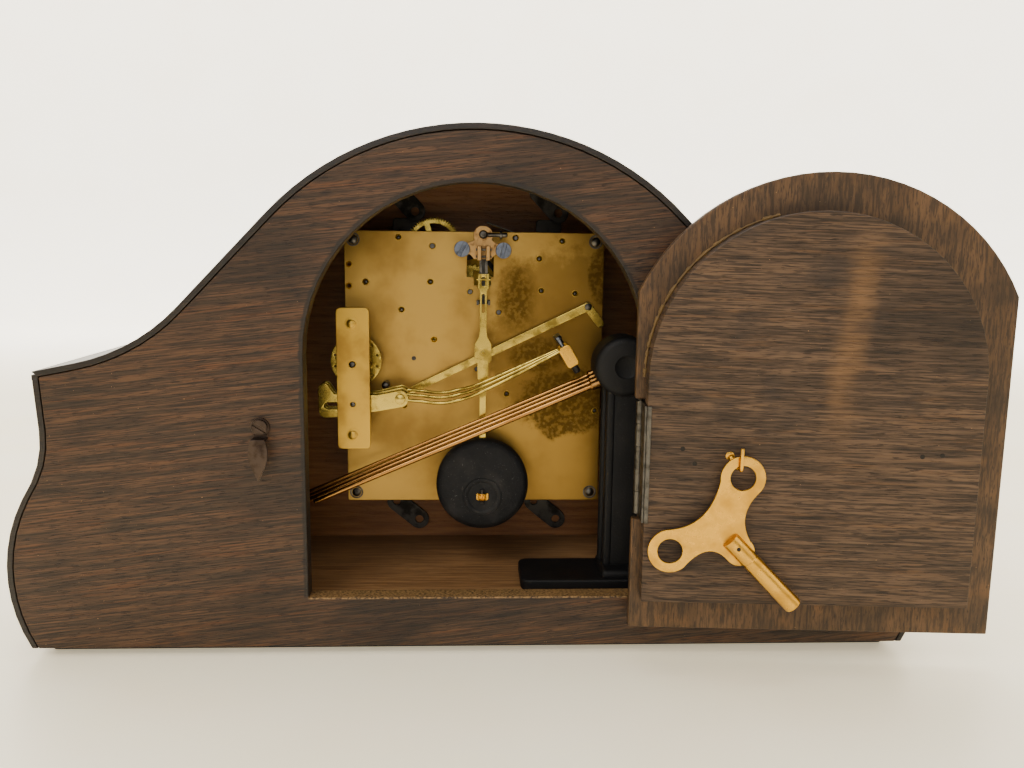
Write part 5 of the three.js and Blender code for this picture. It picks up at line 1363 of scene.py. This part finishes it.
@dataclass
class Trains:
    """Barrels, wheels and arbors between the plates."""

    finishes: Finishes

    def wheel(self, name: str, body: str, centre: tuple, radius: float, teeth: int, arms: int, depth: float,
              node: str, pinion: tuple = (), span: tuple = (0.4, 36.0)) -> None:
        """Makes a wheel with cut teeth, its pinion and its arbor.

        Args:
            name: the piece's name.
            body: what it rides on.
            centre: its X and Z.
            radius: to the tips of the teeth.
            teeth: how many.
            arms: how many; 0 for a solid wheel.
            depth: from the front plate to the wheel.
            node: the frame's node that it replaces.
            pinion: depth and length of its pinion.
            span: where the arbor starts and ends.
        """
        x, z = centre
        y = FRONT_PLATE_Y + depth
        angle = np.arange(teeth * 6) * TAU / (teeth * 6)
        shape = np.tile([0.0, 0.55, 1.0, 1.0, 0.55, 0.0], teeth)
        reach = radius - 1.35 * (1 - shape)
        ring = np.stack([x + reach * np.cos(angle), z + reach * np.sin(angle)], axis=-1)
        windows = []
        for i in range(arms):
            start, end = 360 * (i + 0.1) / arms, 360 * (i + 0.9) / arms
            inset = 360 * 0.06 / arms * radius / 4
            windows.append(np.vstack([arc(x, z, radius - 3.2, start, end, 14),
                                      arc(x, z, max(3.4, radius * 0.22), end - inset, start + inset, 8)]))
        disc = plate(ring, windows, y, y + 1.3, 0.12)
        hub = turned([(0, y - 1.2), (2.4, y - 1.2), (2.5, y - 0.1), (2.5, y + 1.4), (2.2, y + 2.4), (0, y + 2.5)],
                     (x, 0, z), "Y", 24)
        piece(name, joined(disc, hub), self.finishes.bright_brass, body, "plate_brass", node)
        y0, y1 = FRONT_PLATE_Y + span[0], FRONT_PLATE_Y + span[1]
        steel = [turned([(0, y0), (1.1, y0), (1.1, y1), (0, y1)], (x, 0, z), "Y", 16)]
        if pinion:
            leaves = 8 * 6
            turn = np.arange(leaves) * TAU / leaves
            leaf = 2.3 + 0.85 * np.tile([0.0, 0.7, 1.0, 1.0, 0.7, 0.0], 8)
            edge = np.stack([x + leaf * np.cos(turn), z + leaf * np.sin(turn)], axis=-1)
            start = FRONT_PLATE_Y + pinion[0]
            steel.append(plate(edge, [], start, start + pinion[1], 0.12))
        piece(name + "_arbor", joined(*steel), self.finishes.steel, body, "plate_brass")

    def square(self, x: float) -> Shell:
        """Returns a winding arbor: a round shaft whose front end is filed square for the key."""
        profile = np.array([(0, -56.6, 1), (1.7, -56.6, 1), (1.95, -56.2, 1), (1.95, -44.5, 1), (2.3, -44.0, 0),
                            (2.3, -5.4, 0), (1.2, -5.2, 0), (1.2, -3.0, 0), (0, -3.0, 0)])
        angle = (np.arange(40) + 0.5) * TAU / 40
        flat = 1 / np.maximum(np.abs(np.cos(angle)), np.abs(np.sin(angle)))
        share = profile[:, 2:]
        radius = profile[:, :1] * (share * np.minimum(flat, 1.25) + 1 - share)
        depth = np.repeat(profile[:, 1:2], 40, axis=1)
        return net(np.stack([x + radius * np.cos(angle), depth, 86 + radius * np.sin(angle)], axis=-1))

    def build(self) -> None:
        """Makes both trains."""
        kit = self.finishes
        self.wheel("warning_wheel_cut", "warning", (21.5, 178.0), 14.2, 64, 5, 17.5, "warning_wheel", (22.4, 3.0))
        self.wheel("third_wheel_cut", "third", (-10.4, 146.7), 13.4, 60, 4, 18.0, "third_wheel", (30.0, 3.0))
        self.wheel("escape_wheel_cut", "escape", (3.5, 156.5), 13.0, 30, 4, 10.0, "escape_wheel", (17.0, 3.4))
        self.wheel("strike_third_wheel_cut", "strike_third", (30.5, 124.2), 20.6, 72, 5, 28.2,
                   "strike_third_wheel", (5.2, 2.2))
        self.wheel("centre_wheel_cut", "centre", (0.0, DIAL_Z), 26.0, 84, 5, 30.8, "centre_wheel", (5.2, 2.2),
                   (-18.4, 36.0))
        self.wheel("time_second_wheel_cut", "time_second", (-14.6, 106.9), 15.4, 60, 0, 5.6, "time_second_wheel",
                   (2.6, 3.2), (0.4, 10.0))
        self.wheel("strike_second_wheel_cut", "strike_second", (43.8, 111.5), 14.7, 60, 0, 5.6,
                   "strike_second_wheel", (2.6, 3.2), (0.4, 10.0))
        for side, name in (("time", "time_drum"), ("strike", "strike_drum")):
            refined(side + "_barrel", kit.sheet_brass, name, 0.3)
            x = -35.3 if side == "time" else 35.3
            piece(side + "_winding_square", self.square(x), kit.steel, side + "_winder", "steel",
                  side + "_winding_arbor")
        refined("fly", kit.steel, "fly", 0.1)


@dataclass
class DialSide:
    """Dial, hands, bezel and glass."""

    finishes: Finishes
    radius: float = 66.0

    def build(self) -> None:
        """Makes the front of the clock."""
        kit = self.finishes
        holes = [circle(0, DIAL_Z, 4.0, 24), circle(-35.3, 86, 3.4, 24), circle(35.3, 86, 3.4, 24)]
        disc = plate(circle(0, DIAL_Z, self.radius, 128), holes, DIAL_Y, DIAL_Y + 1.0, 0.15)
        piece("dial_silvered_disc", disc, kit.silvered, Body.CASE, "silvered", "dial_plate")
        piece("dial_figures", self.figures(), kit.ink, Body.CASE, "dark_steel")
        piece("dial_minute_track", self.track(), kit.ink, Body.CASE, "dark_steel")
        eyes = [turned([(3.3, 0.4), (4.5, 0.4), (4.6, -0.2), (4.1, -0.5), (3.4, -0.3), (3.3, 0.4)],
                       (x, DIAL_Y, 86), "Y", 32)
                for x in (-35.3, 35.3)]
        piece("dial_eyelets", joined(*eyes), kit.key_brass, Body.CASE, "bright_brass")
        self.hands()
        self.bezel()

    def figures(self) -> Shell:
        """Returns the hour figures, upright round the dial."""
        shells = []
        for hour in range(1, 13):
            text = bpy.data.curves.new("figure", "FONT")
            text.body = str(hour)
            text.size = 12.5
            text.align_x = "CENTER"
            text.align_y = "CENTER"
            text.extrude = 0.08
            text.offset = 0.12
            shell = shell_of(text)
            flat = shell.points
            middle = (flat.max(axis=0) + flat.min(axis=0)) / 2
            angle = TAU * hour / 12
            shell.points = np.stack([flat[:, 0] - middle[0] + 49 * math.sin(angle), DIAL_Y - 0.05 + flat[:, 2],
                                     flat[:, 1] - middle[1] + DIAL_Z + 49 * math.cos(angle)], axis=-1)
            shells.append(shell)
        return joined(*shells)

    def track(self) -> Shell:
        """Returns the minute track: two thin rings with a bar at each minute."""
        rings = [plate(circle(0, DIAL_Z, r, 120), [circle(0, DIAL_Z, r - 0.6, 120)], DIAL_Y - 0.14,
                       DIAL_Y + 0.05, 0.03)
                 for r in (62.6, 58.6)]
        bars = []
        for minute in range(60):
            half = 0.8 if minute % 5 == 0 else 0.28
            bar = plate(rounded(-half, half, DIAL_Z + 58.4, DIAL_Z + 62.4, 0.1), [], DIAL_Y - 0.14,
                        DIAL_Y + 0.05, 0.03)
            bars.append(bar.moved(turn_about((0, 0, DIAL_Z), TAU * minute / 60)))
        return joined(*rings, *bars)

    def hands(self) -> None:
        """Makes both hands: spade-shaped blades on round bosses."""
        kit = self.finishes

        def blade(widths: list[tuple], boss: float, y: float, angle: float, hole: float) -> Shell:
            """Returns a hand whose half-widths are given along its length, turned to an angle."""
            right = np.array([(w, DIAL_Z + h) for w, h in widths])
            left = right[::-1] * np.array([-1, 1])
            flat = plate(np.vstack([right, left]), [], y - 0.55, y, 0.12)
            hub = plate(circle(0, DIAL_Z, boss, 28), [circle(0, DIAL_Z, hole, 20)], y - 0.7, y + 0.1, 0.15)
            return joined(flat, hub).moved(turn_about((0, 0, DIAL_Z), math.radians(angle)))

        hour = [(1.1, 3.4), (1.0, 18), (1.5, 21), (3.6, 25), (3.4, 28), (1.4, 32), (0.25, 38.5)]
        minute = [(0.95, 2.6), (0.85, 36), (1.2, 39), (2.7, 43), (2.4, 46), (1.0, 50), (0.2, 57)]
        piece("hour_hand_spade", blade(hour, 4.0, DIAL_Y - 2.0, 305, 1.6), kit.hand_steel, Body.HOUR,
              "dark_steel", "hour_hand")
        piece("minute_hand_spade", blade(minute, 3.0, DIAL_Y - 3.4, 60, 1.15), kit.hand_steel, Body.CENTRE,
              "dark_steel",
              "minute_hand")
        cap = turned([(0, -5.2), (0.7, -5.2), (1.6, -4.8), (1.7, -4.2), (1.1, -4.1), (0, -4.1)],
                     (0, DIAL_Y, DIAL_Z), "Y", 24)
        piece("hand_nut", cap, kit.key_brass, Body.CENTRE, "bright_brass")

    def bezel(self) -> None:
        """Makes the bezel ring, its hinge and the convex glass."""
        kit = self.finishes
        base, inner, outer = -55.8, 69.2, 75.0
        profile = [(inner, base), (inner, base - 8.8), (inner - 2.2, base - 8.8), (inner - 2.9, base - 9.4),
                   (inner - 2.6, base - 10.3), (inner - 1.6, base - 10.8), (inner + 0.2, base - 10.8),
                   (inner + 1.6, base - 10.1), (inner + 2.3, base - 9.3), (inner + 3.6, base - 8.9),
                   (inner + 4.7, base - 7.6), (inner + 5.0, base - 5.9), (inner + 4.9, base - 4.6),
                   (outer, base - 4.0), (outer, base - 0.5), (outer - 0.3, base), (inner, base)]
        ring = turned(profile, (0, 0, DIAL_Z), "Y", 160)
        lug = block((outer - 2, -58.8, DIAL_Z - 6), (76.8, -57.6, DIAL_Z + 6), 0.3)
        knuckle = turned([(0, -6), (1.4, -6), (1.6, -5.8), (1.6, 5.8), (1.4, 6), (0, 6)], (76.8, -57.6, DIAL_Z),
                         "Z", 24)
        piece("bezel_spun_ring", joined(ring, lug, knuckle), kit.key_brass, Body.BEZEL, "bright_brass", "bezel_ring")
        refined("bezel_hinge", kit.key_brass, Body.CASE, 0.2)
        edge, dome, thick = inner - 0.4, 6.0, 1.6
        sphere = (edge**2 + dome**2) / (2 * dome)
        reach = np.linspace(0, edge, 22)
        rise = np.sqrt(sphere**2 - reach**2) - (sphere - dome)
        front = list(zip(reach, base - 8.5 - rise))
        behind = list(zip(reach, base - 8.5 + thick - rise))[::-1]
        lens = turned(front + behind, (0, 0, DIAL_Z), "Y", 128)
        piece("bezel_convex_glass", lens, kit.glass(), Body.BEZEL, "glass", "bezel_glass")


@dataclass
class Studio:
    """Camera, floor, backdrop and soft lights."""

    lens: float = 31.1
    place: tuple = (2.4, 424.3, 178.4)
    yaw: float = 2.63
    pitch: float = 8.86
    roll: float = 0.68

    def build(self) -> None:
        """Sets up everything round the clock."""
        self.camera()
        self.floor()
        self.lights()

    def camera(self) -> None:
        """Stands the camera behind the clock, looking at its open door."""
        yaw, pitch, roll = (math.radians(a) for a in (self.yaw, self.pitch, self.roll))
        ahead = Vector((-math.sin(yaw) * math.cos(pitch), -math.cos(yaw) * math.cos(pitch), -math.sin(pitch)))
        right = Vector((-math.cos(yaw), math.sin(yaw), 0))
        up = right.cross(ahead)
        level = right * math.cos(roll) + up * math.sin(roll)
        upright = up * math.cos(roll) - right * math.sin(roll)
        pose = Matrix((level, upright, -ahead)).transposed().to_4x4()
        pose.translation = Vector(self.place) * MM
        data = bpy.data.cameras.new("camera")
        data.lens = self.lens
        data.sensor_width = 36.0
        data.clip_start = 0.01
        data.clip_end = 50.0
        camera = bpy.data.objects.new("camera", data)
        camera.matrix_world = pose
        bpy.context.scene.collection.objects.link(camera)
        bpy.context.scene.camera = camera

    def floor(self) -> None:
        """Lays a pale floor that curves up into a backdrop on every side, far from the clock, grey behind the camera;
        it glows as painted light, most strongly far behind the clock.
        """
        bend = np.linspace(0, TAU / 4, 16)[1:]
        radius = np.concatenate([np.linspace(0.01, 1.6, 12), 1.6 + 0.9 * np.sin(bend), [2.5, 2.5]])
        height = np.concatenate([np.zeros(12), 0.9 - 0.9 * np.cos(bend), [2.0, 3.0]])
        angle = np.arange(96) * TAU / 96
        points = np.stack([radius[:, None] * np.cos(angle), radius[:, None] * np.sin(angle),
                           np.repeat(height[:, None], 96, axis=1)], axis=-1)
        shell = net(points)
        mesh = bpy.data.meshes.new("studio_floor")
        mesh.from_pydata(shell.points.tolist(), [], shell.corners.reshape(-1, 4)[:, ::-1].tolist())
        mesh.shade_smooth()
        recipe = Recipe("pale_studio_floor")
        vein = recipe.between(recipe.pattern((120.0, 120.0, 120.0), 0, 5.0), 0.3, 0.8)
        colour = recipe.mix(vein, linear("FBF4DF"), linear("F6EACE"))
        depth = recipe.place()[1]
        colour = recipe.mix(recipe.between(depth, 0.75, 1.4), colour, linear("96918A"))
        # painted light: the floor and backdrop glow a little everywhere and most far behind the clock, fading out
        # behind the camera
        glow = recipe.math("ADD", 0.4, recipe.math("MULTIPLY", recipe.between(depth, -0.5, -1.4), 1.7))
        glow = recipe.math("MULTIPLY", glow, recipe.between(depth, 1.2, 0.7))
        tint = recipe.mix(recipe.between(depth, -0.4, -1.2), linear("FFF0CC"), linear("FFFCF6"))
        mesh.materials.append(recipe.finish(colour, 0.4, Emission_Color=tint, Emission_Strength=glow))
        floor = bpy.data.objects.new("studio_floor", mesh)
        bpy.context.scene.collection.objects.link(floor)

    def lights(self) -> None:
        """Hangs large soft lights over and behind the camera, with a pale surround."""
        world = bpy.data.worlds.new("surround")
        world.use_nodes = True
        sky = world.node_tree.nodes["Background"]
        sky.inputs["Color"].default_value = (1.0, 0.985, 0.96, 1)
        sky.inputs["Strength"].default_value = 0.4
        bpy.context.scene.world = world
        for name, place, aim, size, watts, tint in (
            ("key_light", (0.7, 1.2, 1.5), (0, 0, 0.1), 0.9, 13, (1, 0.97, 0.92)),
            ("window_light", (0.1, 1.9, 0.85), (0, 0, 0.12), 1.3, 8, (0.97, 0.98, 1.0)),
            ("fill_light", (-1.2, 1.0, 0.9), (-0.05, 0, 0.1), 1.0, 5, (1, 0.98, 0.95)),
            ("top_light", (0, -0.3, 1.7), (0, 0, 0.1), 1.2, 20, (1, 0.98, 0.95)),
            ("dial_light", (0.7, -1.6, 1.1), (0, 0, 0.1), 1.0, 4, (1, 0.98, 0.95)),
        ):
            data = bpy.data.lights.new(name, "AREA")
            data.shape = "DISK"
            data.size = size
            data.energy = watts
            data.color = tint
            lamp = bpy.data.objects.new(name, data)
            lamp.location = place
            lamp.rotation_euler = (Vector(aim) - Vector(place)).to_track_quat("-Z", "Y").to_euler()
            bpy.context.scene.collection.objects.link(lamp)


def main() -> None:
    """Builds the clock piece by piece."""
    logging.basicConfig(level=logging.WARNING)
    Studio().build()
    finishes = Finishes()
    for assembly in (CaseWork, BackDoor, WindingKey, TurnButton, Gong, MovementFrame, HammerWork, Pendulum, Trains,
                     DialSide):
        assembly(finishes).build()
    bpy.context.view_layer.update()


if __name__ == "__main__":
    main()
